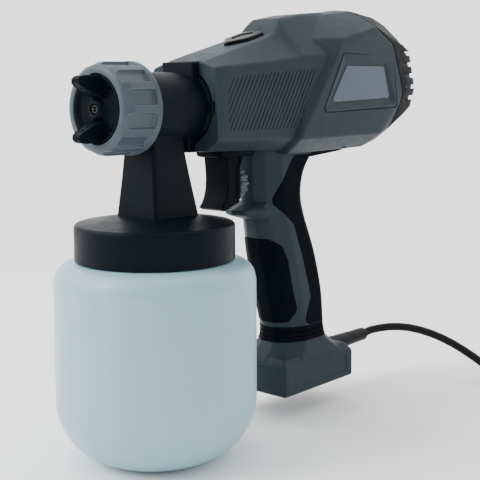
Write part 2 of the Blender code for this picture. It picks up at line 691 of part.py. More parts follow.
def add_bosses(shell, name, side):
    """Screw bosses, with a seat for the head in the right shell and a pilot hole in the left."""
    bosses, holes = bmesh.new(), bmesh.new()
    for y, z, length, seat in SCREWS:
        place = (0, y, z)
        along = (side, 0, 0)
        turned(rod_profile(4.7, GAP / 2, length), place, along, 8, bosses)
        if side < 0:
            turned([(0, -1), (1.9, -1), (1.9, seat), (3.4, seat), (3.4, 45.0), (0, 45.0)],
                   place, along, 8, holes)
        else:
            turned(rod_profile(1.9, -1.0, 7.5), place, along, 8, holes)
    combine(shell, add_cutter(f"{name}_bosses", bosses), "UNION")
    combine(shell, add_cutter(f"{name}_boss_holes", holes), "DIFFERENCE")


def make_screws():
    for number, (y, z, _, seat) in enumerate(SCREWS, 1):
        screw = turned([
            (0, -seat - 2.2), (2.2, -seat - 2.2), (2.9, -seat - 1.2), (2.9, -seat - GAP),
            (1.5, -seat - GAP), (1.5, 7.0), (0, 7.0),
        ], (0, y, z), X_AXIS, 8)
        add_piece(f"housing_screw_{number}", screw, "steel")


def make_shell(name, side):
    """One housing shell with every opening cut in it."""
    shell = shell_form(name, side)
    for cutter in cavity(name, side) + front_openings(name, side):
        combine(shell, cutter, "DIFFERENCE")
    rear_wall_cuts = [
        ("button_well", button_solid(17.0, 9.9, -5.0, 8.0)),
        ("trigger_slot", box((-11.3, 36.0, SPRAY_Z - 33.0), (11.3, 74.0, SPRAY_Z - 21.0))),
        ("grip_way", box((-10.0, 84.0, SPRAY_Z - 34.0), (10.0, 118.0, SPRAY_Z - 20.0))),
        ("foot_way", box((-11.0, 103.0, 30.0), (11.0, 132.0, 42.0))),
        ("relief_way", turned(rod_profile(3.9, 150.0, 158.0), (0, 0, CORD_EXIT.z), Y_AXIS, 12)),
    ]
    cutters = [add_cutter(f"{name}_{kind}", bm) for kind, bm in rear_wall_cuts]
    badge_seat = loft([
        badge_loop(grown(BADGE_OUTLINE, GAP), side * 35.7), badge_loop(grown(BADGE_OUTLINE, 1.5), side * 36.6),
        badge_loop(BADGE_FRAME, side * 38.6),
    ])
    cutters.append(add_cutter(f"{name}_badge_seat", badge_seat))
    cutters.append(seat_cutter(f"{name}_pad_seat", PAD_OUTLINE, *sorted((side * 2.2, side * 26.0))))
    cutters.append(seat_cutter(f"{name}_strap_seat", STRAP_OUTLINE, -26.0, 26.0))
    cutters.append(seat_cutter(f"{name}_collar_seat", COLLAR_OUTLINE, -26.0, 26.0))
    for cutter in cutters:
        combine(shell, cutter, "DIFFERENCE")
    add_bosses(shell, name, side)


def make_rear_cover():
    """Louvred cap that closes the back and lets the turbine breathe."""
    def whole_ring(station, inset=0.0):
        near = body_ring(station, 1, inset, 0.0)
        far = [(-x, y, z) for x, y, z in reversed(near)][1:-1]
        return near + far

    cover = add_piece("rear_cover", loft([whole_ring(station) for station in REAR_COVER]), "black_plastic")
    inner = [(REAR_SEAM_Y - 2.0, *REAR_COVER[0][1:])] + [
        (station[0] - (0.0 if station is REAR_COVER[0] else 2.2), *station[1:]) for station in REAR_COVER
    ]
    combine(cover, add_cutter("cover_hollow", loft([whole_ring(s, 2.2) for s in inner])), "DIFFERENCE")
    slots = bmesh.new()
    for k in range(6):
        rel = 3.0 + 7.4 * k
        box((-23.0 + 0.8 * k, 205.0, SPRAY_Z + rel), (23.0 - 0.8 * k, 236.0, SPRAY_Z + rel + 3.0), slots)
    combine(cover, add_cutter("cover_louvres", slots), "DIFFERENCE")


# ------------------------------------------------------------------ trigger group

def make_trigger(joint, knob_joint):
    pivot_y, pivot_rel = TRIGGER_PIVOT.y, TRIGGER_PIVOT.z - SPRAY_Z
    outline = [
        (pivot_y - 5.5, pivot_rel + 3.0), (pivot_y, pivot_rel + 5.5), (pivot_y + 5.5, pivot_rel + 3.0),
        (64.0, -22.0), (64.0, -31.0), (61.5, -36.0), (61.5, -54.0), (60.0, -57.0), (47.5, -61.0),
        (44.2, -60.0), (47.5, -56.5), (49.6, -50.0), (50.4, -42.0), (49.2, -31.0), (49.0, -22.0),
    ]
    side = [(y, SPRAY_Z + rel) for y, rel in outline]
    half = 9.5
    rings = []
    for x, shrink in ((-half, 1.4), (-half + 1.6, 0.0), (half - 1.6, 0.0), (half, 1.4)):
        rings.append([(x, *point) for point in grown(side, -shrink)])
    trigger = add_piece("trigger", loft(rings), "black_plastic", joint)
    eye = turned(rod_profile(2.2, -12.0, 12.0), TRIGGER_PIVOT, X_AXIS, 16)
    combine(trigger, add_cutter("trigger_eye", eye), "DIFFERENCE")
    knob_rel = -46.0
    knob_hole = turned(rod_profile(2.8, 55.0, 70.0), (0, 0, SPRAY_Z + knob_rel), Y_AXIS, 14)
    combine(trigger, add_cutter("knob_hole", knob_hole), "DIFFERENCE")

    add_piece("trigger_pin", turned(rod_profile(1.9, -12.5, 12.5, 0.4), TRIGGER_PIVOT, X_AXIS, 14), "steel")

    flutes = 14
    radius = 10.0
    knob = bmesh.new()
    rings = []
    for y, scale in ((61.9, 0.86), (62.9, 1.0), (67.6, 1.0), (68.6, 0.86)):
        ring = []
        for k in range(flutes * 2):
            a = 2 * math.pi * k / (flutes * 2)
            r = (radius - 0.45 + 0.45 * math.cos(flutes * a)) * scale
            ring.append((r * math.cos(a), y, SPRAY_Z + knob_rel + r * math.sin(a)))
        rings.append(ring)
    loft(rings, knob)
    piece = add_piece("flow_knob", knob, "slate_light", knob_joint)
    stem = turned(rod_profile(2.4, 55.6, 64.0), (0, 0, SPRAY_Z + knob_rel), Y_AXIS, 14)
    combine(piece, add_cutter("knob_stem", stem), "UNION")

    guide = add_piece("trigger_guide", box(
        (-10.9, 36.4, SPRAY_Z - 30.5), (10.9, 73.6, SPRAY_Z - 24.0)), "black_plastic")
    combine(guide, add_cutter("guide_hole", box(
        (-9.9, 46.0, SPRAY_Z - 35.0), (9.9, 68.5, SPRAY_Z - 10.0))), "DIFFERENCE")
    make_coil_spring("trigger_spring", (0, 65.8, SPRAY_Z - 20.0), Y_AXIS, 2.3, 8.8, 4, 0.8)


def make_button(joint):
    button = button_solid(16.4, 9.4, -3.6, 3.2, 0.93)
    add_piece("release_button", button, "black_gloss", joint)
    spring_foot = BUTTON_CENTRE + Vector((0, 0, -13.2))
    make_coil_spring("button_spring", spring_foot, Z_AXIS, 3.0, 8.2, 4, 0.7)


# ------------------------------------------------------------------ turbine and electrics

def make_motor(rotor_joint):
    can = turned([
        (20.4, 110.0), (22.0, 110.0), (22.0, 150.0), (8.0, 150.0), (8.0, 148.2), (20.4, 148.2),
    ], ON_MOTOR_AXIS, Y_AXIS, 20)
    add_piece("motor_can", can, "steel")
    mount = turned([(22.4, 126.0), (29.5, 126.0), (29.5, 131.0), (22.4, 131.0)], ON_MOTOR_AXIS, Y_AXIS, 20)
    add_piece("motor_mount", mount, "rubber")
    rotor = turned([
        (0, 98.0), (2.4, 98.0), (2.4, 111.5), (7.5, 111.5), (7.5, 118.0), (9.0, 119.5), (17.0, 120.5),
        (17.0, 141.0), (9.0, 143.0), (2.4, 144.0), (2.4, 176.0), (0, 176.0),
    ], ON_MOTOR_AXIS, Y_AXIS, 14)
    add_piece("rotor", rotor, "copper", rotor_joint)
    for name, start in (("front_bearing", 104.0), ("rear_bearing", 151.0)):
        add_piece(name, turned(tube_profile(7.0, 2.9, start, start + 5.0), ON_MOTOR_AXIS, Y_AXIS, 14), "steel")
    for name, low in (("motor_brush_upper", 8.0), ("motor_brush_lower", -14.0)):
        add_piece(name, box((-2.0, 112.5, MOTOR_Z + low), (2.0, 117.0, MOTOR_Z + low + 6.0)), "copper")

    wheel = turned([
        (2.7, 158.5), (6.0, 158.5), (6.0, 168.0), (27.5, 171.0), (27.5, 172.4), (2.7, 172.4),
    ], ON_MOTOR_AXIS, Y_AXIS, 22)
    fan = add_piece("fan_wheel", wheel, "aluminium_grey", rotor_joint)
    blades = bmesh.new()
    for k in range(9):
        a = 2 * math.pi * k / 9
        turn = Matrix.Rotation(a, 3, "Y")
        lean = Matrix.Rotation(math.radians(28), 3, "Y")
        corners = []
        for y in (160.0, 171.0):
            ring = [Vector((sx, 0, sz)) for sx, sz in ((-0.6, 5.4), (0.6, 5.4), (0.6, 19.5), (-0.6, 19.5))]
            ring = [turn @ (Vector((0, 0, 8.0)) + lean @ (p - Vector((0, 0, 5.0)))) if p.z > 6
                    else turn @ Vector((p.x, 0, p.z)) for p in ring]
            corners.append([(p.x, y, MOTOR_Z + p.z) for p in ring])
        loft(corners, blades)
    combine(fan, add_cutter("fan_blades", blades), "UNION")
    shroud = turned([
        (29.5, 157.0), (31.4, 157.0), (31.4, 178.0), (12.0, 178.0), (12.0, 176.6), (29.5, 176.6),
    ], ON_MOTOR_AXIS, Y_AXIS, 24)
    add_piece("fan_housing", shroud, "black_plastic")
    foam = turned([(0, 181.0), (28.0, 181.0), (28.0, 187.0), (0, 187.0)], ON_MOTOR_AXIS, Y_AXIS, 20)
    add_piece("air_filter", foam, "foam")


def make_air_duct():
    """Skewed funnel from the motor to the back of the barrel."""
    steps = 20
    stations = ((48.0, 3.3, 14.0), (84.0, 4.0, 14.0), (103.0, 13.0, 27.5))
    duct = bmesh.new()
    walls = []
    for inset in (0.0, 1.4):
        walls.append([
            [duct.verts.new((
                (radius - inset) * math.cos(a), y, SPRAY_Z + rel + (radius - inset) * math.sin(a)))
             for a in (2 * math.pi * k / steps for k in range(steps))]
            for y, rel, radius in stations
        ])
    for wall in walls:
        skin(duct, wall, closed_ends=False)
    for end in (0, -1):
        skin(duct, [walls[0][end], walls[1][end]], closed_ends=False)
    add_piece("air_duct", duct, "black_plastic")


def make_electrics():
    add_piece("speed_board", box((-11, 60, SPRAY_Z + 24), (11, 86, SPRAY_Z + 25.6)), "board")
    add_piece("power_switch", box((-7, 76, SPRAY_Z - 21), (7, 94, SPRAY_Z - 19.0)), "black_plastic")
    add_piece("speed_capacitor", turned(rod_profile(5.0, 70, 90, 0.6), (0, 106.0, 0), Z_AXIS, 14), "board")


# ------------------------------------------------------------------ dress and cord

def make_skins():
    make_skin("grip_pad_left", PAD_OUTLINE, 2.5, 26.0, "soft_black")
    make_skin("grip_pad_right", PAD_OUTLINE, -26.0, -2.5, "soft_black")
    make_skin("back_strap", STRAP_OUTLINE, -26.0, 26.0, "soft_black")
    make_skin("handle_collar", COLLAR_OUTLINE, -26.0, 26.0, "soft_black")
    for name, side in (("badge_left", 1), ("badge_right", -1)):
        plate = loft([badge_loop(BADGE_OUTLINE, side * x) for x in (36.0, 36.8)])
        add_piece(name, plate, "plate")


RELIEF_END_Y = 202.0
# Route of the cord from the strain relief down to the coil, in millimetres.
CORD_ROUTE = (
    (0.0, 203.1, 30.6), (0.8, 209.0, 31.8), (9.0, 221.0, 33.2), (21.0, 229.0, 33.0), (36.0, 234.5, 30.0),
    (51.0, 238.5, 24.5), (65.0, 242.0, 17.0), (77.0, 245.0, 9.5), (86.0, 247.0, 5.0), (94.0, 248.2, 3.2),
)


def smooth_route(route, spacing):
    """Points about one spacing apart on a Catmull-Rom curve through the route."""
    points = [Vector(p) for p in route]
    padded = [points[0] * 2 - points[1]] + points + [points[-1] * 2 - points[-2]]
    result = []
    for a, b, c, d in zip(padded, padded[1:], padded[2:], padded[3:]):
        count = max(1, round((c - b).length / spacing))
        for k in range(count):
            t = k / count
            result.append(0.5 * (
                2 * b + (c - a) * t + (2 * a - 5 * b + 4 * c - d) * t ** 2 + (3 * b - a - 3 * c + d) * t ** 3
            ))
    return result + [points[-1]]


def make_cord():
    relief = turned([
        (0, 149.6), (4.6, 149.6), (4.6, 152.1), (3.5, 152.1), (3.5, 155.3), (5.2, 155.4), (5.2, 159.0),
        (4.7, 170.0), (4.4, 186.0), (4.2, RELIEF_END_Y - 1.0), (3.4, RELIEF_END_Y), (0, RELIEF_END_Y),
    ], (0, 0, CORD_EXIT.z), Y_AXIS, 14)
    add_piece("strain_relief", relief, "rubber")

    points = smooth_route(CORD_ROUTE, 2.4 * CORD_DIAMETER)
    path = bpy.data.curves.new("cord_run", "CURVE")
    path.dimensions = "3D"
    path.bevel_depth = CORD_DIAMETER / 2 * MM
    path.bevel_resolution = 3
    path.use_fill_caps = True
    spline = path.splines.new("POLY")
    spline.points.add(len(points) - 1)
    for target, point in zip(spline.points, points):
        target.co = (*(point * MM), 1.0)
    path.materials.append(finish_material("rubber"))
    run = bpy.data.objects.new("cord_run", path)
    bpy.context.scene.collection.objects.link(run)

    half = COIL_WIDTH / 2
    coil = turned([
        (COIL_MEAN_RADIUS - half, 2.0), (COIL_MEAN_RADIUS - half + 2, 0.1),
        (COIL_MEAN_RADIUS + half - 2, 0.1), (COIL_MEAN_RADIUS + half, 2.0),
        (COIL_MEAN_RADIUS + half, COIL_HEIGHT - 2), (COIL_MEAN_RADIUS + half - 2, COIL_HEIGHT),
        (COIL_MEAN_RADIUS - half + 2, COIL_HEIGHT), (COIL_MEAN_RADIUS - half, COIL_HEIGHT - 2),
    ], COIL_CENTRE, Z_AXIS, 32)
    add_piece("cord_coil", coil, "rubber")

    axis_y = COIL_CENTRE.y + 22.0
    nose_x = COIL_CENTRE.x + 19.0
    axis_z = COIL_HEIGHT + 7.1
    stations = (
        (nose_x, 3.4, 3.4), (nose_x - 11.0, 5.0, 4.6), (nose_x - 17.0, 13.0, 6.0),
        (nose_x - 25.0, 16.5, 6.6), (nose_x - 43.0, 17.5, 6.8), (nose_x - 45.0, 16.0, 5.6),
    )
    rings = []
    for x, half_y, half_z in stations:
        corner = min(half_y, half_z) * 0.6
        outline = round_corners(
            [(-half_y, -half_z), (half_y, -half_z), (half_y, half_z), (-half_y, half_z)], [corner] * 4, 2)
        rings.append([(x, axis_y + p.x, axis_z + p.y) for p in outline])
    plug = add_piece("plug", loft(rings), "rubber")
    for number, shift in enumerate((-9.0, 9.0), 1):
        pin = turned([
            (0, -64.0), (1.4, -64.0), (2.0, -62.6), (2.0, -41.0), (0, -41.0),
        ], (nose_x, axis_y + shift, axis_z), X_AXIS, 12)
        hole = turned(rod_profile(2.0 + GAP, -49.0, -40.7), (nose_x, axis_y + shift, axis_z), X_AXIS, 12)
        combine(plug, add_cutter(f"pin_hole_{number}", hole), "DIFFERENCE")
        add_piece(f"plug_pin_{number}", pin, "brass")


# ------------------------------------------------------------------ assembly

head_joint = joint_frame("head_slide_frame", Vector((0, FRONT_Y, SPRAY_Z)))
jar_joint = joint_frame("jar_thread_frame", Vector((0, 0, JAR_HEIGHT)))
nut_joint = joint_frame("nut_frame", Vector((0, NUT_REAR_Y, SPRAY_Z)))
cap_joint = joint_frame("cap_frame", Vector((0, NUT_FRONT_Y, SPRAY_Z)))
needle_joint = joint_frame("needle_frame", Vector((0, 0, SPRAY_Z)))
trigger_joint = joint_frame("trigger_frame", TRIGGER_PIVOT)
knob_joint = joint_frame("knob_frame", Vector((0, 65.0, SPRAY_Z - 46.0)))
button_joint = joint_frame("button_frame", BUTTON_CENTRE)
rotor_joint = joint_frame("rotor_frame", Vector((0, 130.0, MOTOR_Z)))

make_jar(jar_joint)
make_spray_head(head_joint)
make_lid_parts(head_joint)
make_nozzle(head_joint)
make_coil_spring("needle_spring", (0, 24.4, SPRAY_Z), Y_AXIS, 2.6, 12.6, 4, 0.7, head_joint)
make_needle(needle_joint)
make_air_cap(cap_joint)
make_union_nut(nut_joint)
make_shell("housing_left", 1)
make_shell("housing_right", -1)
make_screws()
make_rear_cover()
make_trigger(trigger_joint, knob_joint)
make_button(button_joint)
make_motor(rotor_joint)
make_air_duct()
make_electrics()
make_skins()
make_cord()
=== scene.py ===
import json
import math

import bmesh
import bpy
from mathutils import Matrix, Vector


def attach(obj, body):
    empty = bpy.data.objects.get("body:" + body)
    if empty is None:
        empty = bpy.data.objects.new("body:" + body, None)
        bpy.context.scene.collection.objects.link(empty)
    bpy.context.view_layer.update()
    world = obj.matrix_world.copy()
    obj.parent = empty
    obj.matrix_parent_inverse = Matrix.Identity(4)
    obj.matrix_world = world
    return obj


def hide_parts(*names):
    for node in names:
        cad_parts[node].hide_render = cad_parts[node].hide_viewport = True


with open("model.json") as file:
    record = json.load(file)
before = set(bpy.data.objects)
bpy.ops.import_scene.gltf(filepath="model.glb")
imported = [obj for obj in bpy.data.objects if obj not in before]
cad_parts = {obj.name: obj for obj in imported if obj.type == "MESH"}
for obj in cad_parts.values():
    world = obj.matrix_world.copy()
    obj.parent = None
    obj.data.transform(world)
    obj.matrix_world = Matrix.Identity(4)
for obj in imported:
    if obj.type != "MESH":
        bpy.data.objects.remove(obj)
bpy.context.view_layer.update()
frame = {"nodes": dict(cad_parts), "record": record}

nodes = frame["nodes"]

MM = 0.001
SPRAY_Z = 194.5          # spray axis above the jar's base, mm
FRONT_Y = 23.5           # front face of the housing, mm
X_AXIS, Y_AXIS, Z_AXIS = (1, 0, 0), (0, 1, 0), (0, 0, 1)
ON_SPRAY_AXIS = (0, 0, SPRAY_Z)
CUT, JOIN = "DIFFERENCE", "UNION"


def new_object(name, data):
    """An object in the scene."""
    made = bpy.data.objects.new(name, data)
    bpy.context.scene.collection.objects.link(made)
    return made


# ---------------- camera

VIEW_AZIMUTH = math.radians(41.73)
VIEW_PITCH = math.radians(5.23)
VIEW_ROLL = math.radians(-0.34)
VIEW_DISTANCE, VIEW_RIGHT, VIEW_UP = 0.555, 0.047, 0.0431
LID_RIM = 0.1115

back = Vector((math.sin(VIEW_AZIMUTH) * math.cos(VIEW_PITCH),
               -math.cos(VIEW_AZIMUTH) * math.cos(VIEW_PITCH), math.sin(VIEW_PITCH)))
right = Vector((math.cos(VIEW_AZIMUTH), math.sin(VIEW_AZIMUTH), 0))
upward = back.cross(right)
turned_right = right * math.cos(VIEW_ROLL) + upward * math.sin(VIEW_ROLL)
turned_up = upward * math.cos(VIEW_ROLL) - right * math.sin(VIEW_ROLL)
camera = new_object("camera", bpy.data.cameras.new("camera"))
camera.data.sensor_width = 36
camera.data.lens = 75
camera.data.shift_y = -0.125
place = back * VIEW_DISTANCE + turned_right * VIEW_RIGHT + turned_up * VIEW_UP + Vector((0, 0, LID_RIM))
axes = Matrix((turned_right, turned_up, back)).transposed().to_4x4()
camera.matrix_world = Matrix.Translation(place) @ axes
camera.data.clip_start = 0.02
bpy.context.scene.camera = camera


# ---------------- materials

def new_material(name):
    material = bpy.data.materials.new(name)
    material.use_nodes = True
    tree = material.node_tree
    return material, tree, tree.nodes["Principled BSDF"]


def add_node(tree, kind, **settings):
    node = tree.nodes.new(kind)
    for key, value in settings.items():
        if key in node.inputs:
            node.inputs[key].default_value = value
        else:
            setattr(node, key.lower(), value)
    return node


def noise(tree, vector, scale, detail=3.0, roughness=0.55):
    node = add_node(tree, "ShaderNodeTexNoise", Scale=scale, Detail=detail, Roughness=roughness)
    tree.links.new(vector, node.inputs["Vector"])
    return node.outputs["Fac"]


def remap(tree, value, low, high, to_low, to_high):
    node = tree.nodes.new("ShaderNodeMapRange")
    for socket, number in zip(list(node.inputs)[1:5], (low, high, to_low, to_high)):
        socket.default_value = number
    tree.links.new(value, node.inputs[0])
    return node.outputs[0]


def mix(tree, factor, first, second):
    node = tree.nodes.new("ShaderNodeMix")
    node.data_type = "RGBA"
    tree.links.new(factor, node.inputs[0])
    for socket, colour in ((node.inputs[6], first), (node.inputs[7], second)):
        if isinstance(colour, tuple):
            socket.default_value = (*colour, 1.0)
        else:
            tree.links.new(colour, socket)
    return node.outputs[2]


def add_bump(tree, shader, height, strength, distance):
    bump = add_node(tree, "ShaderNodeBump", Strength=strength, Distance=distance)
    tree.links.new(height, bump.inputs["Height"])
    tree.links.new(bump.outputs[0], shader.inputs["Normal"])


def edge_mask(tree, radius):
    """1 along convex and concave edges, 0 on faces."""
    bevel = add_node(tree, "ShaderNodeBevel", Radius=radius)
    bevel.samples = 4
    geometry = tree.nodes.new("ShaderNodeNewGeometry")
    dot = tree.nodes.new("ShaderNodeVectorMath")
    dot.operation = "DOT_PRODUCT"
    tree.links.new(bevel.outputs[0], dot.inputs[0])
    tree.links.new(geometry.outputs["Normal"], dot.inputs[1])
    return remap(tree, dot.outputs["Value"], 0.995, 0.86, 0.0, 1.0)


def moulded(name, colour, roughness, grain=1500.0, bump=0.12, edge_highlight=None, tone=0.10, metallic=0.0,
            edge_radius=0.0007, shine=0.25):
    """Moulded plastic or metal: fine grain, slow colour drift, and edges lightened by a painted highlight."""
    material, tree, shader = new_material(name)
    shader.inputs["Metallic"].default_value = metallic
    shader.inputs["Specular IOR Level"].default_value = shine if metallic == 0 else 0.5
    position = tree.nodes.new("ShaderNodeTexCoord").outputs["Object"]
    drift = noise(tree, position, 22.0, 4.0)
    dark = tuple(c * (1 - tone) for c in colour)
    light = tuple(min(1.0, c * (1 + tone)) for c in colour)
    base = mix(tree, remap(tree, drift, 0.35, 0.65, 0.0, 1.0), dark, light)
    speck = noise(tree, position, 420.0, 2.0)
    base = mix(tree, remap(tree, speck, 0.55, 0.80, 0.0, 0.35), base, tuple(min(1, c * 1.25) for c in colour))
    # Painted highlight: the edge mask lightens the edges towards this colour, broken up by noise.
    if edge_highlight:
        highlight_noise = noise(tree, position, 90.0, 5.0)
        mask = edge_mask(tree, edge_radius)
        amount = tree.nodes.new("ShaderNodeMath")
        amount.operation = "MULTIPLY"
        tree.links.new(mask, amount.inputs[0])
        tree.links.new(remap(tree, highlight_noise, 0.30, 0.62, 0.25, 0.85), amount.inputs[1])
        base = mix(tree, amount.outputs[0], base, edge_highlight)
    tree.links.new(base, shader.inputs["Base Color"])
    rough_noise = noise(tree, position, 140.0, 3.0)
    tree.links.new(remap(tree, rough_noise, 0.3, 0.7, roughness - 0.05, roughness + 0.06),
                   shader.inputs["Roughness"])
    add_bump(tree, shader, noise(tree, position, grain, 2.0, 0.6), bump, 0.00025)
    return material


def milky():
    """Translucent polyethylene of the jar: light bleeds inside it, with faint mould flow."""
    material, tree, shader = new_material("milky_jar")
    shader.inputs["Subsurface Weight"].default_value = 0.35
    shader.inputs["Subsurface Radius"].default_value = (0.9, 1.0, 1.1)
    shader.inputs["Subsurface Scale"].default_value = 0.006
    position = tree.nodes.new("ShaderNodeTexCoord").outputs["Object"]
    stretch = add_node(tree, "ShaderNodeMapping")
    stretch.inputs["Scale"].default_value = (1.0, 1.0, 0.35)
    tree.links.new(position, stretch.inputs["Vector"])
    flow = noise(tree, stretch.outputs[0], 26.0, 4.0)
    base = mix(tree, remap(tree, flow, 0.3, 0.7, 0.0, 1.0), (0.245, 0.415, 0.490), (0.275, 0.450, 0.525))
    tree.links.new(base, shader.inputs["Base Color"])
    rough_noise = noise(tree, position, 60.0)
    tree.links.new(remap(tree, rough_noise, 0.3, 0.7, 0.30, 0.42), shader.inputs["Roughness"])
    add_bump(tree, shader, noise(tree, position, 350.0, 3.0), 0.10, 0.0003)
    return material


# The edge colour given to each finish below is a painted highlight that lightens its edges.
SLATE = moulded("slate_housing", (0.0205, 0.0322, 0.0400), 0.50, edge_highlight=(0.062, 0.082, 0.092), tone=0.07, shine=0.10)
NUT_GREY = moulded("nut_grey", (0.044, 0.063, 0.081), 0.44, edge_highlight=(0.14, 0.17, 0.19), edge_radius=0.0009, tone=0.06)
HEAD = moulded("head_moulding", (0.0024, 0.0048, 0.0080), 0.42, edge_highlight=(0.011, 0.017, 0.023), shine=0.06)
BLACK = moulded("black_moulding", (0.0022, 0.0043, 0.0070), 0.50, edge_highlight=(0.009, 0.014, 0.018), shine=0.035)
SOFT = moulded("soft_grip", (0.0018, 0.0034, 0.0056), 0.66, grain=2600.0, bump=0.35, edge_highlight=(0.009, 0.011, 0.014),
               shine=0.03)
GLOSS = moulded("gloss_button", (0.0020, 0.0034, 0.0050), 0.36, bump=0.03, edge_highlight=(0.02, 0.024, 0.028), shine=0.10)
PLATE = moulded("side_plate", (0.050, 0.075, 0.107), 0.38, grain=2200.0, bump=0.05, tone=0.04,
                edge_highlight=(0.14, 0.17, 0.21), shine=0.3)
NOZZLE = moulded("dark_nozzle", (0.05, 0.05, 0.052), 0.35, bump=0.05, metallic=1.0)
STEEL = moulded("plated_steel", (0.58, 0.58, 0.57), 0.26, bump=0.05, metallic=1.0, tone=0.06)
BRASS = moulded("turned_brass", (0.60, 0.42, 0.18), 0.28, bump=0.05, metallic=1.0, tone=0.08)
COPPER = moulded("copper_winding", (0.55, 0.24, 0.12), 0.36, grain=900.0, bump=0.4, metallic=1.0, tone=0.15)
ALLOY = moulded("cast_alloy", (0.50, 0.51, 0.53), 0.40, grain=700.0, bump=0.3, metallic=1.0, tone=0.08)
BOARD = moulded("circuit_board", (0.015, 0.11, 0.05), 0.45, grain=600.0, bump=0.25, tone=0.2)
FOAM = moulded("filter_foam", (0.035, 0.036, 0.040), 0.92, grain=500.0, bump=1.0, tone=0.3)
RUBBER = moulded("cord_rubber", (0.0035, 0.0045, 0.0055), 0.55, grain=1800.0, bump=0.25,
                 edge_highlight=(0.012, 0.014, 0.016), shine=0.16)
MILKY = milky()

CAD_FINISH = {
    "steel": STEEL, "brass": BRASS, "copper": COPPER, "aluminium_grey": ALLOY, "board": BOARD, "foam": FOAM,
    "rubber": RUBBER, "black_plastic": BLACK, "black_gloss": GLOSS, "soft_black": SOFT, "slate": SLATE,
    "slate_light": NUT_GREY, "milky_plastic": MILKY, "plate": PLATE,
}
for entry in frame["record"]["subparts"]:
    kept = nodes[entry["node"]]
    if not kept.data.materials:
        kept.data.materials.append(None)
    for index in range(len(kept.data.materials)):
        kept.data.materials[index] = NOZZLE if entry["node"] == "fluid_nozzle" else CAD_FINISH[entry["material_slot"]]


# ---------------- mesh helpers (millimetres)

def round_corners(points, radii, steps=4):
    """A 2-D polygon with an arc of the given radius at each corner (0 keeps the corner)."""
    rounded = []
    count = len(points)
    for index, radius in enumerate(radii):
        corner = Vector(points[index])
        if radius == 0:
            rounded.append(corner)
            continue
        before = (Vector(points[index - 1]) - corner).normalized()
        after = (Vector(points[(index + 1) % count]) - corner).normalized()
        half = before.angle(after) / 2
        centre = corner + (before + after).normalized() * (radius / math.sin(half))
        start = corner + before * (radius / math.tan(half)) - centre
        turn = start.angle_signed(corner + after * (radius / math.tan(half)) - centre)
        for step in range(steps + 1):
            rounded.append(centre + Matrix.Rotation(-turn * step / steps, 2) @ start)
    return rounded


def loft(rings, bm=None):
    """Skins rings of equal length and closes both ends."""
    bm = bm or bmesh.new()
    rows = [[bm.verts.new(point) for point in ring] for ring in rings]
    for low, high in zip(rows, rows[1:]):
        for k in range(len(low)):
            n = (k + 1) % len(low)
            bm.faces.new((low[k], low[n], high[n], high[k]))
    bm.faces.new(rows[0])
    bm.faces.new(rows[-1])
    return bm


def box(low, high, bm=None):
    (x0, y0, z0), (x1, y1, z1) = low, high
    return loft([[(x0, y0, z), (x1, y0, z), (x1, y1, z), (x0, y1, z)] for z in (z0, z1)], bm)


def turned(profile, centre, axis, steps, bm=None):
    """Turns a closed (radius, distance along axis) profile; a zero radius makes a pole."""
    bm = bm or bmesh.new()
    along = Vector(axis)
    side = Vector((1, 0, 0)) if abs(along.x) < 0.5 else Vector((0, 0, 1))
    other = along.cross(side)
    rings = []
    for radius, distance in profile:
        base = Vector(centre) + along * distance
        if radius == 0:
            rings.append([bm.verts.new(base)])
            continue
        rings.append([
            bm.verts.new(base + (side * math.cos(a) + other * math.sin(a)) * radius)
            for a in (2 * math.pi * (k + 0.5) / steps for k in range(steps))
        ])
    pairs = list(zip(rings, rings[1:]))
    if len(rings[0]) > 1:
        pairs.append((rings[-1], rings[0]))
    for low, high in pairs:
        if len(low) == 1 and len(high) == 1:
            continue
        for k in range(steps):
            n = (k + 1) % steps
            corners = [low[k % len(low)], low[n % len(low)], high[n % len(high)], high[k % len(high)]]
            bm.faces.new(list(dict.fromkeys(corners)))
    return bm


def bevel_edges(bm, width, segments=2, sharper_than=25.0):
    bm.normal_update()
    edges = [e for e in bm.edges if len(e.link_faces) == 2
             and e.calc_face_angle(0) > math.radians(sharper_than)]
    bmesh.ops.bevel(bm, geom=edges, offset=width, segments=segments, profile=0.5, affect="EDGES",
                    clamp_overlap=True)
    return bm


def hull(points, bevel=0.0, segments=2):
    """Convex solid over the points, with its edges rounded."""
    bm = bmesh.new()
    for point in points:
        bm.verts.new(point)
    made = bmesh.ops.convex_hull(bm, input=bm.verts)
    loose = {g for g in made["geom_interior"] + made["geom_unused"] if isinstance(g, bmesh.types.BMVert)}
    bmesh.ops.delete(bm, geom=list(loose), context="VERTS")
    bmesh.ops.dissolve_limit(bm, angle_limit=math.radians(1.5), verts=bm.verts, edges=bm.edges)
    bmesh.ops.recalc_face_normals(bm, faces=bm.faces)
    return bevel_edges(bm, bevel, segments, 8.0) if bevel else bm


def to_object(name, bm):
    bmesh.ops.scale(bm, vec=(MM, MM, MM), verts=bm.verts)
    bmesh.ops.recalc_face_normals(bm, faces=bm.faces)
    mesh = bpy.data.meshes.new(name)
    bm.to_mesh(mesh)
    bm.free()
    return new_object(name, mesh)


def boolean(first, steps):
    """Applies (operation, solid) steps to the first object with exact Booleans; the solids go."""
    for operation, solid in steps:
        other = solid if isinstance(solid, bpy.types.Object) else to_object("tool", solid)
        modifier = first.modifiers.new("cut", "BOOLEAN")
        modifier.operation = operation
        modifier.solver = "EXACT"
        modifier.object = other
        bpy.context.view_layer.update()
        evaluated = first.evaluated_get(bpy.context.evaluated_depsgraph_get())
        mesh = bpy.data.meshes.new_from_object(evaluated)
        first.modifiers.clear()
        first.data = mesh
        bpy.data.objects.remove(other)
    return first


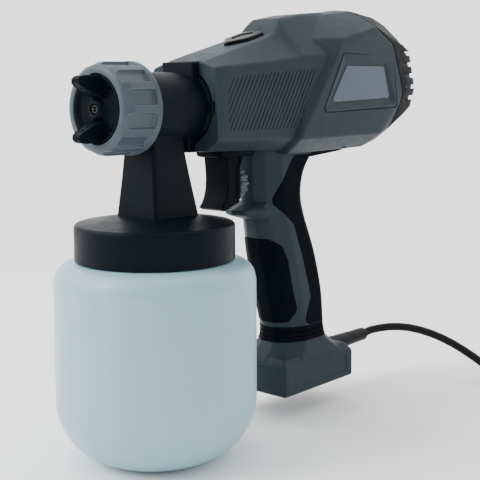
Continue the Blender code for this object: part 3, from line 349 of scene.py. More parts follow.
def finish_piece(made, name, material, body, replaced, angle=32.0, weighted=True):
    """Names, shades and paints a piece, and hangs it from its body."""
    made.name = name
    made.data.name = name
    made.data.materials.clear()
    made.data.materials.append(material)
    made.data.shade_smooth()
    made.data.set_sharp_from_angle(angle=math.radians(angle))
    if weighted:
        modifier = made.modifiers.new("weighted", "WEIGHTED_NORMAL")
        modifier.keep_sharp = True
    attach(made, body)
    if replaced:
        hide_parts(*replaced)
    return made


def mirror_copy(made):
    """A copy of an object, mirrored across the seam plane."""
    twin = new_object(made.name, made.data.copy())
    twin.data.transform(Matrix.Scale(-1, 4, X_AXIS))
    twin.data.flip_normals()
    return twin


def curve_point(a, b, c, d, t):
    """The Catmull-Rom curve between b and c, at t from 0 to 1."""
    return 0.5 * (2 * b + (c - a) * t + (2 * a - 5 * b + 4 * c - d) * t ** 2 + (3 * b - a - 3 * c + d) * t ** 3)


def bent(points, spacing):
    """Points about one spacing apart on a Catmull-Rom curve through the given points."""
    points = [Vector(p) for p in points]
    padded = [points[0] * 2 - points[1]] + points + [points[-1] * 2 - points[-2]]
    result = []
    for a, b, c, d in zip(padded, padded[1:], padded[2:], padded[3:]):
        count = max(1, round((c - b).length / spacing))
        for k in range(count):
            result.append(curve_point(a, b, c, d, k / count))
    return result + [points[-1]]


# ---------------- cord

CORD_DIAMETER = 5.5
COIL_CENTRE = Vector((96.0, 296.0, 0.0))
COIL_MEAN = 32.8
LAY = 5.6                # distance between neighbouring turns


def smooth_step(t):
    t = min(1.0, max(0.0, t))
    return t * t * (3 - 2 * t)


def coil_path():
    """Two flat layers of turns: inwards on the floor, then outwards on top of it."""
    radii = [COIL_MEAN + LAY * k for k in (2.5, 1.5, 0.5, -0.5, -1.5, -1.5, -0.5, 0.5, 1.5)]
    shift_start, shift = -80.0, 60.0
    points = []
    degrees = shift_start
    last = shift_start + 360.0 * 7 + 45.0
    while degrees <= last:
        turn = (degrees - shift_start) / 360.0
        index = int(turn)
        into = (turn - index) * 360.0
        mix_in = smooth_step(into / shift)
        radius = radii[index] * (1 - mix_in) + radii[index + 1] * mix_in
        rise = smooth_step((turn - (4 - 60.0 / 360.0)) * 360.0 / 60.0)
        z = CORD_DIAMETER / 2 + 0.15 + LAY * rise * 0.995
        a = math.radians(degrees)
        points.append(COIL_CENTRE + Vector((radius * math.cos(a), radius * math.sin(a), z)))
        degrees += 15.0
    return points


run_route = (
    (0.0, 202.3, 30.55), (1.4, 209.0, 31.9), (9.0, 221.0, 33.2), (21.0, 229.0, 33.0), (36.0, 234.5, 30.0),
    (51.0, 238.5, 24.5), (65.0, 242.0, 17.0), (77.0, 245.0, 9.5), (86.0, 247.2, 5.0), (94.0, 248.6, 3.3),
)
coil = coil_path()
nose_x, plug_y, plug_z = COIL_CENTRE.x + 19.0, COIL_CENTRE.y + 22.0, 18.5
tail = []
for degrees, height in ((-23.0, 9.8), (-12.0, 12.6), (0.0, 15.0)):
    a = math.radians(degrees)
    tail.append(COIL_CENTRE + Vector((41.2 * math.cos(a), 41.2 * math.sin(a), height)))
for k in range(1, 5):
    a = math.radians(90.0 * k / 4)
    tail.append(COIL_CENTRE + Vector((19.2 + 22.0 * math.cos(a), 22.0 * math.sin(a), 15.0 + 3.5 * smooth_step(k / 4))))
tail.append(Vector((nose_x - 6.0, plug_y, plug_z)))
cord_points = bent([*run_route, *coil, *tail], 9.0)

path = bpy.data.curves.new("cord", "CURVE")
path.dimensions = "3D"
path.bevel_depth = CORD_DIAMETER / 2 * MM
path.bevel_resolution = 5
path.use_fill_caps = True
spline = path.splines.new("POLY")
spline.points.add(len(cord_points) - 1)
for target, point in zip(spline.points, cord_points):
    target.co = (*(point * MM), 1.0)
path.materials.append(RUBBER)
cord = new_object("cord", path)
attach(cord, "housing")
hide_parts("cord_run", "cord_coil")


def make_plug():
    stations = (
        (0, 3.2, 3.2), (-2, 3.5, 3.5), (-11, 5.0, 4.6), (-14, 8.2, 5.3), (-17, 12.6, 6.0), (-20, 14.9, 6.4),
        (-25, 16.5, 6.6), (-40, 17.4, 6.7), (-43.4, 17.2, 6.6), (-44.6, 16.4, 6.0), (-45, 15.0, 4.6),
    )
    rings = []
    for x, half_y, half_z in stations:
        corner = min(half_y, half_z) * 0.72
        outline = round_corners(
            [(-half_y, -half_z), (half_y, -half_z), (half_y, half_z), (-half_y, half_z)], [corner] * 4, 5)
        rings.append([(nose_x + x, plug_y + p.x, plug_z + p.y) for p in outline])
    plug = to_object("plug_body", loft(rings))
    cuts = bmesh.new()
    for k in range(4):
        for half in (1, -1):
            rib_x = nose_x - 9.6 + 2.4 * k
            box((rib_x, plug_y - 8, plug_z + half * 3.0), (rib_x + 1.0, plug_y + 8, plug_z + half * 9.0), cuts)
    holes = bmesh.new()
    for shift in (-9.0, 9.0):
        turned([(0, -50.0), (2.35, -50.0), (2.35, -40.6), (0, -40.6)], (nose_x, plug_y + shift, plug_z),
               X_AXIS, 20, holes)
    boolean(plug, [(CUT, cuts), (CUT, holes)])
    return finish_piece(plug, "plug_body", RUBBER, "housing", ["plug"])


def make_pins():
    pins = []
    for number, shift in ((1, -9.0), (2, 9.0)):
        pin = turned([
            (0, -64.0), (0.9, -64.0), (1.5, -63.5), (2.0, -62.3), (2.0, -52.6), (1.9, -52.4), (1.9, -41.0), (0, -41.0),
        ], (nose_x, plug_y + shift, plug_z), X_AXIS, 24)
        pins.append(finish_piece(to_object("pin", pin), f"mains_pin_{number}", BRASS, "housing",
                                 [f"plug_pin_{number}"]))
    return pins


plug = make_plug()
make_pins()


# ---------------- housing tables (millimetres)

GAP = 0.3
WALL = 2.5
FOOT_FRONT_Y, FOOT_REAR_Y, FOOT_HALF_WIDTH = 84.7, 155.0, 24.0
FOOT_BOTTOM_Z, FOOT_TOP_Z = 15.5, 38.0

# Nose stations: y, top half-width, top, shoulder half-width, shoulder, side half-width,
# side's lower edge, belly half-width, belly. Heights are from the spray axis.
NOSE = (
    (FRONT_Y, 15.0, 25.0, 25.0, 21.8, 27.0, -18.5, 17.0, -25.0),
    (40.0, 15.0, 30.0, 27.0, 23.0, 28.3, -18.8, 17.0, -25.3),
    (62.0, 14.5, 36.0, 29.3, 25.0, 30.3, -19.0, 18.0, -25.8),
    (88.0, 13.5, 43.5, 31.8, 28.0, 32.6, -19.3, 19.0, -26.8),
    (94.5, 10.5, 52.5, 32.4, 29.0, 33.0, -19.3, 19.5, -27.0),
    (112.0, 10.5, 55.8, 33.6, 30.5, 34.0, -19.4, 20.0, -27.3),
    (138.0, 10.5, 58.4, 34.2, 33.0, 34.6, -19.4, 20.0, -28.0),
)
# Corners of the turbine shell, x, y, height from the spray axis; the other side mirrors them.
TURBINE = (
    (0, 133.0, 57.3), (0, 167.0, 61.8), (12, 132.6, 56.2), (13, 166, 60.5), (18, 168.5, 55), (25, 118, 42.9),
    (34.5, 129, 40.7), (15, 126.4, 50.4), (25, 109.5, 40), (33.4, 116, 30), (37, 120, 31), (34, 166.3, 48.8),
    (34, 186, 38.3), (34.4, 189.2, 28.8), (34.6, 195.7, 12), (34.5, 196.4, 4), (34, 185, -12),
    (33, 181, -17), (33, 82.6, -19.6), (37, 84.3, -19.6), (37.4, 166, -19), (22, 88, -29.5),
    (22, 166, -28.5), (20, 184, -25),
)
COVER = (
    (0, 168.0, 61.4), (13, 167.0, 60.2), (18, 169.0, 54.8), (34, 166.8, 48.6), (33.8, 186.5, 38.2),
    (34.2, 189.8, 28.7), (34.4, 196.3, 12), (34.3, 197.0, 4), (33.8, 185.6, -12), (32.8, 181.5, -16.8),
    (19.8, 184.6, -24.6), (0, 184.8, -25), (14.5, 190, 57.0), (14.0, 204, 52.6), (13.0, 215, 47.6),
    (11.0, 219, 44.0), (30.6, 202, 38.5), (27.0, 216, 34.8), (22.5, 222.0, 31.5), (33.0, 206, 12), (29.0, 220, 10),
    (31.6, 203, -7), (27.6, 217, -2.5), (23.0, 224.5, 3), (18.5, 204, -15.5), (16, 217, -8), (13, 223.5, -2),
)
# Handle stations: height above the jar's base, front, rear, half-width.
HANDLE = (
    (35.5, 86.0, 152.0, 22.6), (38.0, 88.0, 149.5, 21.6), (40.5, 91.5, 146.0, 19.8), (44.5, 95.5, 142.0, 17.7),
    (52.0, 97.5, 140.0, 17.0), (75.0, 92.0, 137.0, 17.6), (98.5, 85.5, 130.5, 17.6), (115.0, 82.0, 124.5, 16.6),
    (125.5, 79.5, 120.6, 15.8), (138.0, 77.0, 118.0, 15.2), (152.0, 76.0, 120.5, 15.4), (164.0, 75.5, 128.5, 16.2),
    (176.0, 75.0, 140.0, 17.0),
)
# Housing screws: y, height, boss length on each side of the seam, depth of the head's seat.
SCREWS = (
    (52.0, SPRAY_Z + 25.5, 18.0, 12.0), (101.0, SPRAY_Z + 47.0, 13.0, 7.0),
    (145.0, SPRAY_Z - 24.0, 24.0, 17.0), (184.5, SPRAY_Z + 47.3, 20.3, 13.0),
    (108.0, 118.0, 14.4, 9.5), (122.0, 63.0, 15.6, 9.5), (96.0, 27.0, 22.6, 17.0), (144.0, 27.0, 22.6, 17.0),
)
PAD_OUTLINE = ((70.0, 113.5), (86.0, 112.5), (93.5, 108.0), (97.5, 99.0), (103.0, 78.0), (107.0, 65.5),
               (102.0, 58.2), (84.0, 58.2))
STRAP_OUTLINE = ((103.0, 163.5), (85.5, 136.0), (103.0, 121.0), (118.5, 73.5), (112.0, 55.4),
                 (150.0, 55.4), (150.0, 163.5))
COLLAR_OUTLINE = ((80.0, 45.6), (160.0, 45.6), (160.0, 54.6), (80.0, 54.6))
BADGE_OUTLINE = ((115.5, 1.5), (131.5, 24.0), (173.5, 24.0), (180.5, 3.5))
BADGE_FRAME = ((107.5, -3.0), (127.0, 30.0), (183.0, 29.0), (187.5, -1.0))
BUTTON_RISE = math.radians(16.0)
BUTTON_CENTRE = Vector((0.0, 74.0, SPRAY_Z + 39.5))
CORD_EXIT_Z = 30.5


# The solids of one shell run past the seam, each by its own amount, so that no two have coplanar faces
# there. The shell's last cut trims them at the seam.
NOSE_PAST, TURBINE_PAST, HANDLE_PAST, FOOT_PAST, FIN_PAST = -2.0, -2.3, -2.6, -2.9, -3.2

TURBINE_GROWN = [(x + GAP if x else 0, y + (GAP if y > 130 else -GAP), z + math.copysign(GAP, z))
                 for x, y, z in TURBINE]


def mirrored(points):
    """Points given from the spray axis, on both sides of X = 0."""
    return [(side * x, y, SPRAY_Z + z) for x, y, z in points for side in (1, -1)]


def shrunk(points, amount):
    """The same corners moved towards the middle of the solid (away from it if negative)."""
    middle = sum((Vector(p) for p in points), Vector()) / len(points)
    moved = []
    for point in points:
        away = Vector(point) - middle
        moved.append(tuple(Vector(point) - Vector((math.copysign(amount, away.x) if away.x else 0,
                                                   math.copysign(amount, away.y),
                                                   math.copysign(amount, away.z)))))
    return moved


def body_ring(station, flat_x=NOSE_PAST, inset=0.0, steps=4):
    _, top_x, top, shoulder_x, shoulder, side_x, low, belly_x, belly = station
    shrink = inset * 0.55
    points = [
        (flat_x, top - inset), (top_x - shrink, top - inset), (shoulder_x - inset, shoulder - shrink * 0.6),
        (side_x - inset, low + shrink * 0.6), (belly_x - shrink, belly + inset), (flat_x, belly + inset),
    ]
    return [(p.x, station[0], SPRAY_Z + p.y) for p in round_corners(points, [0, 6, 3.2, 3.2, 3, 0], steps)]


def nose_solid():
    """Nose of one shell, with a softened front edge and slow curvature between its stations."""
    rings = [[(x, FRONT_Y + step, z) for x, _, z in body_ring(NOSE[0], inset=inset)]
             for step, inset in ((0.0, 0.9), (0.35, 0.3), (1.1, 0.0))]
    stations = [Vector(s) for s in NOSE]
    for a, b in zip(stations[:4], stations[1:4]):
        for t in (1 / 3, 2 / 3, 1.0):
            rings.append(body_ring(a.lerp(b, t)))
    hump = [NOSE[3], (91.0, 12.2, 48.6, 32.1, 28.4, 32.8, -19.3, 19.2, -26.9), *NOSE[4:]]
    rings += [body_ring(s) for s in hump[1:]]
    return loft(rings)


def handle_ring(station, flat_x, inset=0.0, steps=4):
    z, front, rear, width = station
    front, rear, width = front + inset, rear - inset, width - inset
    points = [
        (flat_x, front), (width * 0.27, front), (width * 0.72, front + 6.0), (width, front + 17.0),
        (width, rear - 9.0), (width * 0.62, rear - 0.5), (flat_x, rear),
    ]
    return [(p.x, p.y, z) for p in round_corners(points, [0, 5, 7, 8, 6, 5, 0], steps)]


def smooth_stations():
    """The handle's stations, about 3.5 mm apart on a smooth curve."""
    padded = [Vector(HANDLE[0]) * 2 - Vector(HANDLE[1])] + [Vector(s) for s in HANDLE]
    padded.append(Vector(HANDLE[-1]) * 2 - Vector(HANDLE[-2]))
    fine = []
    for a, b, c, d in zip(padded, padded[1:], padded[2:], padded[3:]):
        count = max(1, round((c[0] - b[0]) / 3.5))
        for k in range(count):
            fine.append(curve_point(a, b, c, d, k / count))
    return fine + [Vector(HANDLE[-1])]


GRIP = smooth_stations()


def handle_solid(inset=0.0, whole=False):
    """The handle, as one side past the seam or as the whole."""
    rings = []
    for station in GRIP:
        ring = handle_ring(station, 0.0 if whole else HANDLE_PAST, inset)
        if whole:
            ring += [(-x, y, z) for x, y, z in reversed(ring)][1:-1]
        rings.append(ring)
    return loft(rings)


def prism(outline, low_x, high_x):
    """Extrudes a (y, height) outline along X."""
    return loft([[(x, y, z) for y, z in outline] for x in (low_x, high_x)])


def grown(outline, grow):
    """The same outline with every edge moved outwards by the same distance."""
    points = [Vector(point) for point in outline]
    turn = sum(a.x * b.y - b.x * a.y for a, b in zip(points, points[1:] + points[:1]))
    outwards = 1.0 if turn > 0 else -1.0
    moved = []
    for before, point, after in zip(points[-1:] + points[:-1], points, points[1:] + points[:1]):
        first, second = (point - before).normalized(), (after - point).normalized()
        normals = [Vector((edge.y, -edge.x)) * outwards for edge in (first, second)]
        middle = (normals[0] + normals[1]).normalized()
        moved.append(tuple(point + middle * (grow / middle.dot(normals[0]))))
    return moved


def softened(outline, radius, steps=4):
    """An outline with its corners rounded where its edges are long enough."""
    radii = []
    points = [Vector(p) for p in outline]
    for before, point, after in zip(points[-1:] + points[:-1], points, points[1:] + points[:1]):
        reach = min((before - point).length, (after - point).length) * 0.45
        angle = (before - point).angle(after - point)
        radii.append(min(radius, reach * math.tan(angle / 2)) if angle < math.radians(172) else 0)
    return [tuple(p) for p in round_corners(outline, radii, steps)]


def skin_outline(outline, grow=0.0):
    return softened(grown(outline, grow), 4.5)


def button_solid(half_length, half_width, low, high, edge=0.8):
    """The button's elongated diamond, raised along the normal of the sloping top."""
    tilt = Matrix.Rotation(BUTTON_RISE, 3, "X")
    diamond = [
        (0.0, -half_length), (half_width, -half_length * 0.35), (half_width, half_length * 0.55),
        (0.0, half_length), (-half_width, half_length * 0.55), (-half_width, -half_length * 0.35),
    ]
    rings = []
    for height, inset in ((low, 0.0), (high - edge, 0.0), (high - edge * 0.35, edge * 0.35), (high, edge)):
        outline = softened(grown(diamond, -inset), 2.0, 3)
        rings.append([BUTTON_CENTRE + tilt @ Vector((x, y, height)) for x, y in outline])
    return loft(rings)


def side_x(y, rel):
    """How far out the nose's flank is at a place on it."""
    for low, high in zip(NOSE, NOSE[1:]):
        if y <= high[0]:
            break
    t = (y - low[0]) / (high[0] - low[0])
    s = [a + (b - a) * t for a, b in zip(low, high)]
    return s[5] + (s[3] - s[5]) * (rel - s[6]) / (s[4] - s[6])


def slash_grooves():
    """The panel of slanted grooves in the nose's flank."""
    grooves = bmesh.new()
    pitch, lean = 3.0, 0.56
    for k in range(24):
        start_y = 14.0 + pitch * k
        ends = []
        for rel in [-13.6 + 36.0 * i / 40 for i in range(41)]:
            y = start_y + lean * (rel + 13.6)
            if 31.5 <= y <= 86.0 + 0.66 * (rel + 13.6) and rel <= 17.0 + 6.0 * (y - 31) / 74:
                ends.append((y, rel))
        if len(ends) < 8:
            continue
        rings = []
        for (y, rel), narrow in ((ends[0], 0.4), (ends[1], 1.0), (ends[-2], 1.0), (ends[-1], 0.4)):
            x = side_x(y, rel)
            wide = 0.72 * narrow
            rings.append([(x - 0.75 * narrow, y - 0.18, SPRAY_Z + rel), (x - 0.75 * narrow, y + 0.18, SPRAY_Z + rel),
                          (x + 0.6, y + wide + 0.35, SPRAY_Z + rel), (x + 0.6, y - wide - 0.35, SPRAY_Z + rel)])
        loft(rings, grooves)
    return grooves


def plate_x(y):
    """Inner face of the side plate, which leans with the flank."""
    return 35.0 - 0.020 * (y - 115.0)


def plate_loft(levels, radius):
    """Skins (outline, height above the side plate's inner face) levels with softened corners."""
    return loft([[(plate_x(y) + x, y, SPRAY_Z + rel) for y, rel in softened(outline, radius, 3)]
                 for outline, x in levels])


def half_of(bm, from_x):
    """Keeps what lies left of a plane across X, closed there."""
    bmesh.ops.bisect_plane(bm, geom=bm.verts[:] + bm.edges[:] + bm.faces[:], plane_co=(from_x, 0, 0),
                           plane_no=(1, 0, 0), clear_inner=True)
    bmesh.ops.holes_fill(bm, edges=[e for e in bm.edges if e.is_boundary])
    return bm


def foot_solid():
    w, f, r, low, top = FOOT_HALF_WIDTH, FOOT_FRONT_Y, FOOT_REAR_Y, FOOT_BOTTOM_Z, FOOT_TOP_Z
    corners = [(sx * w, y, z) for sx in (1, -1) for y in (f, r) for z in (low, top - 4.6)]
    corners += [(sx * (w - 4.6), y, top) for sx in (1, -1) for y in (f + 4.0, r - 4.0)]
    return hull(corners, 1.6, 3)


def fin_solid():
    """Finger guard: a tongue in front of the handle, thin at its tip."""
    rings = []
    for z, reach, half_width in ((124.6, 17.0, 9.0), (126.0, 10.0, 10.5), (127.6, 4.0, 12.0), (129.0, 0.8, 12.8),
                                 (130.6, 0.0, 13.0), (131.8, 0.8, 12.8), (132.8, 4.0, 12.4), (134.4, 10.0, 11.8),
                                 (136.8, 17.0, 11.0)):
        tip_y = 62.0 + reach
        points = [(FIN_PAST, 94.0), (half_width, 94.0), (half_width * 0.97, max(80.0, tip_y + 7.0)),
                  (half_width * 0.62, tip_y + 3.5), (FIN_PAST, tip_y)]
        rings.append([(p.x, p.y, z) for p in round_corners(points, [0, 0, 3.5, 4, 0], 4)])
    return loft(rings)


def seat_cut(outline, low_x, high_x):
    """What is cut from the handle so that a skin of the given outline sits in it."""
    seat = to_object("seat", prism(skin_outline(outline, GAP), low_x, high_x))
    return boolean(seat, [(CUT, handle_solid(1.3, whole=True))])


def half_shell():
    """The left shell: outer solids joined, then hollowed and cut."""
    shell = to_object("shell", nose_solid())
    turbine = half_of(hull(mirrored(TURBINE), 1.1, 3), TURBINE_PAST)
    boolean(shell, [(JOIN, turbine), (JOIN, handle_solid()), (JOIN, half_of(foot_solid(), FOOT_PAST)),
                    (JOIN, fin_solid())])
    inner_nose = loft([body_ring(s, -1.0, WALL, 2) for s in (
        (46.0, *NOSE[1][1:]), NOSE[2], NOSE[3], (97.0, *NOSE[4][1:]), (136.0, *NOSE[6][1:]))])
    inner_turbine = loft([body_ring(s, -1.0, WALL, 2) for s in (
        (134.0, 12.0, 55.0, 31.5, 35.0, 34.6, -19.4, 20.0, -28.0),
        (166.0, 13.0, 58.5, 33.0, 44.0, 36.0, -18.6, 22.0, -28.0),
        (182.0, 14.0, 58.0, 33.0, 39.0, 34.4, -14.0, 19.5, -24.5),
        (198.0, 14.0, 56.0, 33.0, 38.0, 34.4, -13.0, 19.5, -24.0))])
    inner_grip = loft([handle_ring(s, -1.0, WALL, 2) for s in HANDLE[:-1]])
    inner_foot = box((-1.0, FOOT_FRONT_Y + WALL, FOOT_BOTTOM_Z + WALL),
                     (FOOT_HALF_WIDTH - WALL - 1.6, FOOT_REAR_Y - WALL, FOOT_TOP_Z - WALL - 1.6))
    socket = turned([(0, FRONT_Y - 2), (22.6, FRONT_Y - 2), (22.6, FRONT_Y + 0.01), (21.6, FRONT_Y + 1.0),
                     (21.6, 47.5), (0, 47.5)], ON_SPRAY_AXIS, Y_AXIS, 96)
    cuts = [
        inner_nose, inner_turbine, inner_grip, inner_foot, socket,
        # Slots for the head's latch, low latch and lugs.
        box((-12.4, FRONT_Y - 2.0, SPRAY_Z + 14.0), (12.4, 40.0, SPRAY_Z + 25.6)),
        box((-8.9, FRONT_Y - 2.0, SPRAY_Z - 27.0), (8.9, 36.0, SPRAY_Z - 14.0)),
        box((-24.3, FRONT_Y - 2.0, SPRAY_Z - 3.9), (24.3, 38.0, SPRAY_Z + 3.4)),
        button_solid(17.0, 9.9, -5.0, 8.0, 0.2),
        # Openings for the trigger guide, into the handle from above and below, and for the lead's sleeve.
        box((-11.3, 42.8, SPRAY_Z - 33.0), (11.3, 74.0, SPRAY_Z - 21.0)),
        box((-10.0, 84.0, SPRAY_Z - 34.0), (10.0, 118.0, SPRAY_Z - 20.0)),
        box((-11.0, 103.0, 30.0), (11.0, 132.0, 42.0)),
        turned([(0, 150.0), (3.9, 150.0), (3.9, 158.0), (0, 158.0)], (0, 0, CORD_EXIT_Z), Y_AXIS, 32),
        slash_grooves(),
    ]
    badge = [(grown(BADGE_OUTLINE, GAP), -0.3), (grown(BADGE_OUTLINE, GAP), 0.35), (grown(BADGE_OUTLINE, 2.6), 0.5),
             (BADGE_FRAME, 2.0), (grown(BADGE_FRAME, 2.0), 4.0)]
    cuts.append(plate_loft(badge, 1.6))
    groove = to_object("groove", plate_loft([(grown(BADGE_FRAME, 2.1), x) for x in (0.9, 6.0)], 2.5))
    core = plate_loft([(grown(BADGE_FRAME, 1.0), x) for x in (0.0, 7.0)], 2.0)
    cuts.append(boolean(groove, [(CUT, core)]))
    panel = [(91.5, 19.5), (148.5, 19.5), (148.5, 30.0), (143.0, 33.5), (98.0, 33.5), (91.5, 29.0)]
    cuts += [
        prism(panel, FOOT_HALF_WIDTH - 0.35, 30.0), seat_cut(PAD_OUTLINE, -1.0, 26.0),
        seat_cut(STRAP_OUTLINE, -26.0, 26.0), seat_cut(COLLAR_OUTLINE, -26.0, 26.0),
        box((-30.0, 0.0, 0.0), (GAP / 2, 260.0, 300.0)),
    ]
    return boolean(shell, [(CUT, cut) for cut in cuts])


def rod(radius, start, end, place, axis, steps, bm=None):
    return turned([(0, start), (radius, start), (radius, end), (0, end)], place, axis, steps, bm)


def make_housing():
    left = half_shell()
    right = mirror_copy(left)
    for shell, side in ((left, 1), (right, -1)):
        bosses, holes = bmesh.new(), bmesh.new()
        for y, z, length, seat in SCREWS:
            place, along = (0, y, z), (side, 0, 0)
            rod(4.7, GAP / 2, length, place, along, 24, bosses)
            if side < 0:
                turned([(0, -1), (1.9, -1), (1.9, seat), (3.4, seat), (3.4, 45.0), (0, 45.0)],
                       place, along, 24, holes)
            else:
                rod(1.9, -1.0, 7.5, place, along, 24, holes)
        boolean(shell, [(JOIN, bosses), (CUT, holes)])
        name = "left" if side > 0 else "right"
        finish_piece(shell, f"shell_{name}", SLATE, "housing", [f"housing_{name}"])


def make_cover():
    points = mirrored(COVER)
    cover = to_object("rear_louvres", hull(points, 1.6, 3))
    slots, low_slots = bmesh.new(), bmesh.new()
    for k in range(6):
        z = SPRAY_Z + 2.0 + 7.5 * k
        box((-60.0, 201.0, z), (60.0, 240.0, z + 2.9), slots)
        box((-17.0, 218.0, z + 0.8), (17.0, 240.0, z + 2.4), low_slots)
    cutter = boolean(to_object("slots", slots), [(CUT, hull(shrunk(points, 1.5)))])
    boolean(cover, [
        (CUT, hull(shrunk(points, 4.6))), (CUT, cutter), (CUT, low_slots),
        (CUT, hull(mirrored(TURBINE_GROWN))),
    ])
    finish_piece(cover, "rear_louvres", BLACK, "housing", ["rear_cover"])


def make_skins():
    for name, cad, outline, low_x, high_x in (
        ("pad_left", "grip_pad_left", PAD_OUTLINE, GAP / 2, 26.0),
        ("pad_right", "grip_pad_right", PAD_OUTLINE, -26.0, -GAP / 2),
        ("strap", "back_strap", STRAP_OUTLINE, -26.0, 26.0),
        ("collar", "handle_collar", COLLAR_OUTLINE, -26.0, 26.0),
    ):
        piece = to_object(name, handle_solid(-0.35, whole=True))
        steps = [("INTERSECT", prism(skin_outline(outline) if name != "collar" else outline, low_x, high_x)),
                 (CUT, handle_solid(1.0, whole=True))]
        if name == "collar":
            bands = box((-30, 70, 51.2), (30, 170, 52.0), box((-30, 70, 48.2), (30, 170, 49.0)))
            groove = boolean(to_object("groove", bands), [(CUT, handle_solid(0.35, whole=True))])
            steps.append((CUT, groove))
        if name == "strap":
            belly = [(12.5, 108, -34.5), (14.5, 112, -27), (13.5, 140, -31.6), (11.5, 158, -30.8), (9.5, 170, -29.2),
                     (9.5, 170, -27), (14.5, 140, -27)]
            steps += [(JOIN, hull(mirrored(belly), 0.8, 2)), (CUT, hull(mirrored(TURBINE_GROWN))),
                      (CUT, box((-10.0, 60.0, SPRAY_Z - 40.0), (10.0, 118.0, SPRAY_Z - 24.0)))]
        boolean(piece, steps)
        finish_piece(piece, f"soft_{name}", SOFT, "housing", [cad])


def make_badges():
    for name, side in (("left", 1), ("right", -1)):
        rings = [[(side * (plate_x(y) + x), y, SPRAY_Z + rel)
                  for y, rel in softened(grown(BADGE_OUTLINE, -inset), 1.6, 3)]
                 for x, inset in ((0.0, 0.0), (0.55, 0.0), (0.75, 0.12), (0.8, 0.35))]
        finish_piece(to_object("plate", loft(rings)), f"side_plate_{name}", PLATE, "housing",
                     [f"badge_{name}"])


# ---------------- trigger group

def make_trigger():
    front = bent([(49.0, -20.0, 0), (49.3, -31.0, 0), (50.3, -42.0, 0), (49.6, -50.0, 0), (47.4, -56.0, 0),
                  (44.2, -59.8, 0)], 1.2)
    outline = [(51.5, -14.0), (57.0, -11.5), (62.5, -14.0), (64.0, -22.0), (64.0, -31.0), (61.5, -36.0),
               (61.5, -54.0), (60.0, -57.0), (47.5, -61.2), *[(p.x, p.y) for p in reversed(front)]]
    side = [(y, SPRAY_Z + rel) for y, rel in outline]
    half = 9.5
    rings = [[(x, *point) for point in grown(side, -inset)] for x, inset in (
        (-half, 0.9), (-half + 0.25, 0.45), (-half + 0.9, 0.0), (half - 0.9, 0.0), (half - 0.25, 0.45), (half, 0.9))]
    trigger = to_object("trigger_blade", loft(rings))
    flank = [(y, SPRAY_Z + rel) for y, rel in (
        (56.0, -27.0), (61.0, -27.0), (61.0, -33.0), (58.8, -37.0), (58.8, -53.0), (56.0, -54.0))]
    boolean(trigger, [
        (CUT, rod(2.2, -12.0, 12.0, (0, 57.0, SPRAY_Z - 17.0), X_AXIS, 32)),
        (CUT, rod(2.8, 55.0, 70.0, (0, 0, SPRAY_Z - 46.0), Y_AXIS, 32)),
        (CUT, prism(flank, half - 0.7, half + 2)), (CUT, prism(flank, -half - 2, -half + 0.7)),
    ])
    finish_piece(trigger, "trigger_blade", BLACK, "trigger", ["trigger"])

    rings = []
    for z, inset in ((-29.9, 1.6), (-29.6, 0.8), (-28.8, 0.15), (-28.0, 0.0), (-24.2, 0.0)):
        plan = softened(grown([(-10.9, 43.2), (10.9, 43.2), (10.9, 73.6), (-10.9, 73.6)], -inset), 2.5, 4)
        rings.append([(x, y, SPRAY_Z + z) for x, y in plan])
    guide = to_object("guide_block", loft(rings))
    boolean(guide, [(CUT, box((-9.9, 46.5, SPRAY_Z - 35.0), (9.9, 68.5, SPRAY_Z - 10.0)))])
    finish_piece(guide, "guide_block", BLACK, "housing", ["trigger_guide"], weighted=False)

    rings = []
    for y, scale in ((61.9, 0.84), (62.2, 0.93), (62.9, 1.0), (67.6, 1.0), (68.3, 0.93), (68.6, 0.84)):
        ring = []
        for k in range(112):
            a = 2 * math.pi * k / 112
            r = (9.4 + 0.6 * math.tanh(2.5 * math.cos(14 * a))) * scale
            ring.append((r * math.cos(a), y, SPRAY_Z - 46.0 + r * math.sin(a)))
        rings.append(ring)
    knob = to_object("knob", loft(rings))
    boolean(knob, [(JOIN, rod(2.4, 55.6, 64.0, (0, 0, SPRAY_Z - 46.0), Y_AXIS, 28))])
    finish_piece(knob, "flow_wheel", NUT_GREY, "flow_knob", ["flow_knob"])

    button = to_object("button", button_solid(16.4, 9.4, -3.6, 2.2, 0.9))
    finger = button_solid(9.8, 5.2, 1.6, 6.0, 0.1)
    boolean(button, [(CUT, finger)])
    finish_piece(button, "head_release", GLOSS, "release_button", ["release_button"])


# ---------------- jar, head, nut and cap

def make_jar():
    corner, wall, radius = 34.0, 2.0, 56.0
    arc = [math.pi / 2 * k / 16 for k in range(17)]
    outer = [(0, 0.6), (19.0, 0.6), (20.5, 0.0)]
    outer += [(radius - corner * (1 - math.sin(a)), corner * (1 - math.cos(a))) for a in arc]
    shoulder = [(56.0, 99.5), (54.6, 105.0), (51.2, 108.6), (46.0, 110.6), (41.2, 111.0)]
    upper = [(p.x, p.y) for p in bent([(x, y, 0) for x, y in shoulder], 0.9)]
    outer += upper + [(41.2, 123.2), (40.9, 123.5), (39.5, 123.5), (39.2, 123.2)]
    inner = [(39.2, 109.0), (45.0, 108.4), (49.8, 106.8), (52.8, 103.9), (54.0, 99.0)]
    inner += [(radius - wall - (corner - wall) * (1 - math.sin(a)), wall + (corner - wall) * (1 - math.cos(a)))
              for a in reversed(arc)]
    jar = to_object("paint_jar", turned(outer + inner + [(0, wall)], (0, 0, 0), Z_AXIS, 144))
    finish_piece(jar, "paint_jar", MILKY, "jar", ["jar"], angle=40)


def square_ring(half_x, half_y, z, corner=2.2, middle=0.0):
    points = [(-half_x, middle - half_y), (half_x, middle - half_y), (half_x, middle + half_y),
              (-half_x, middle + half_y)]
    return [(p.x, p.y, z) for p in round_corners(points, [corner] * 4, 5)]


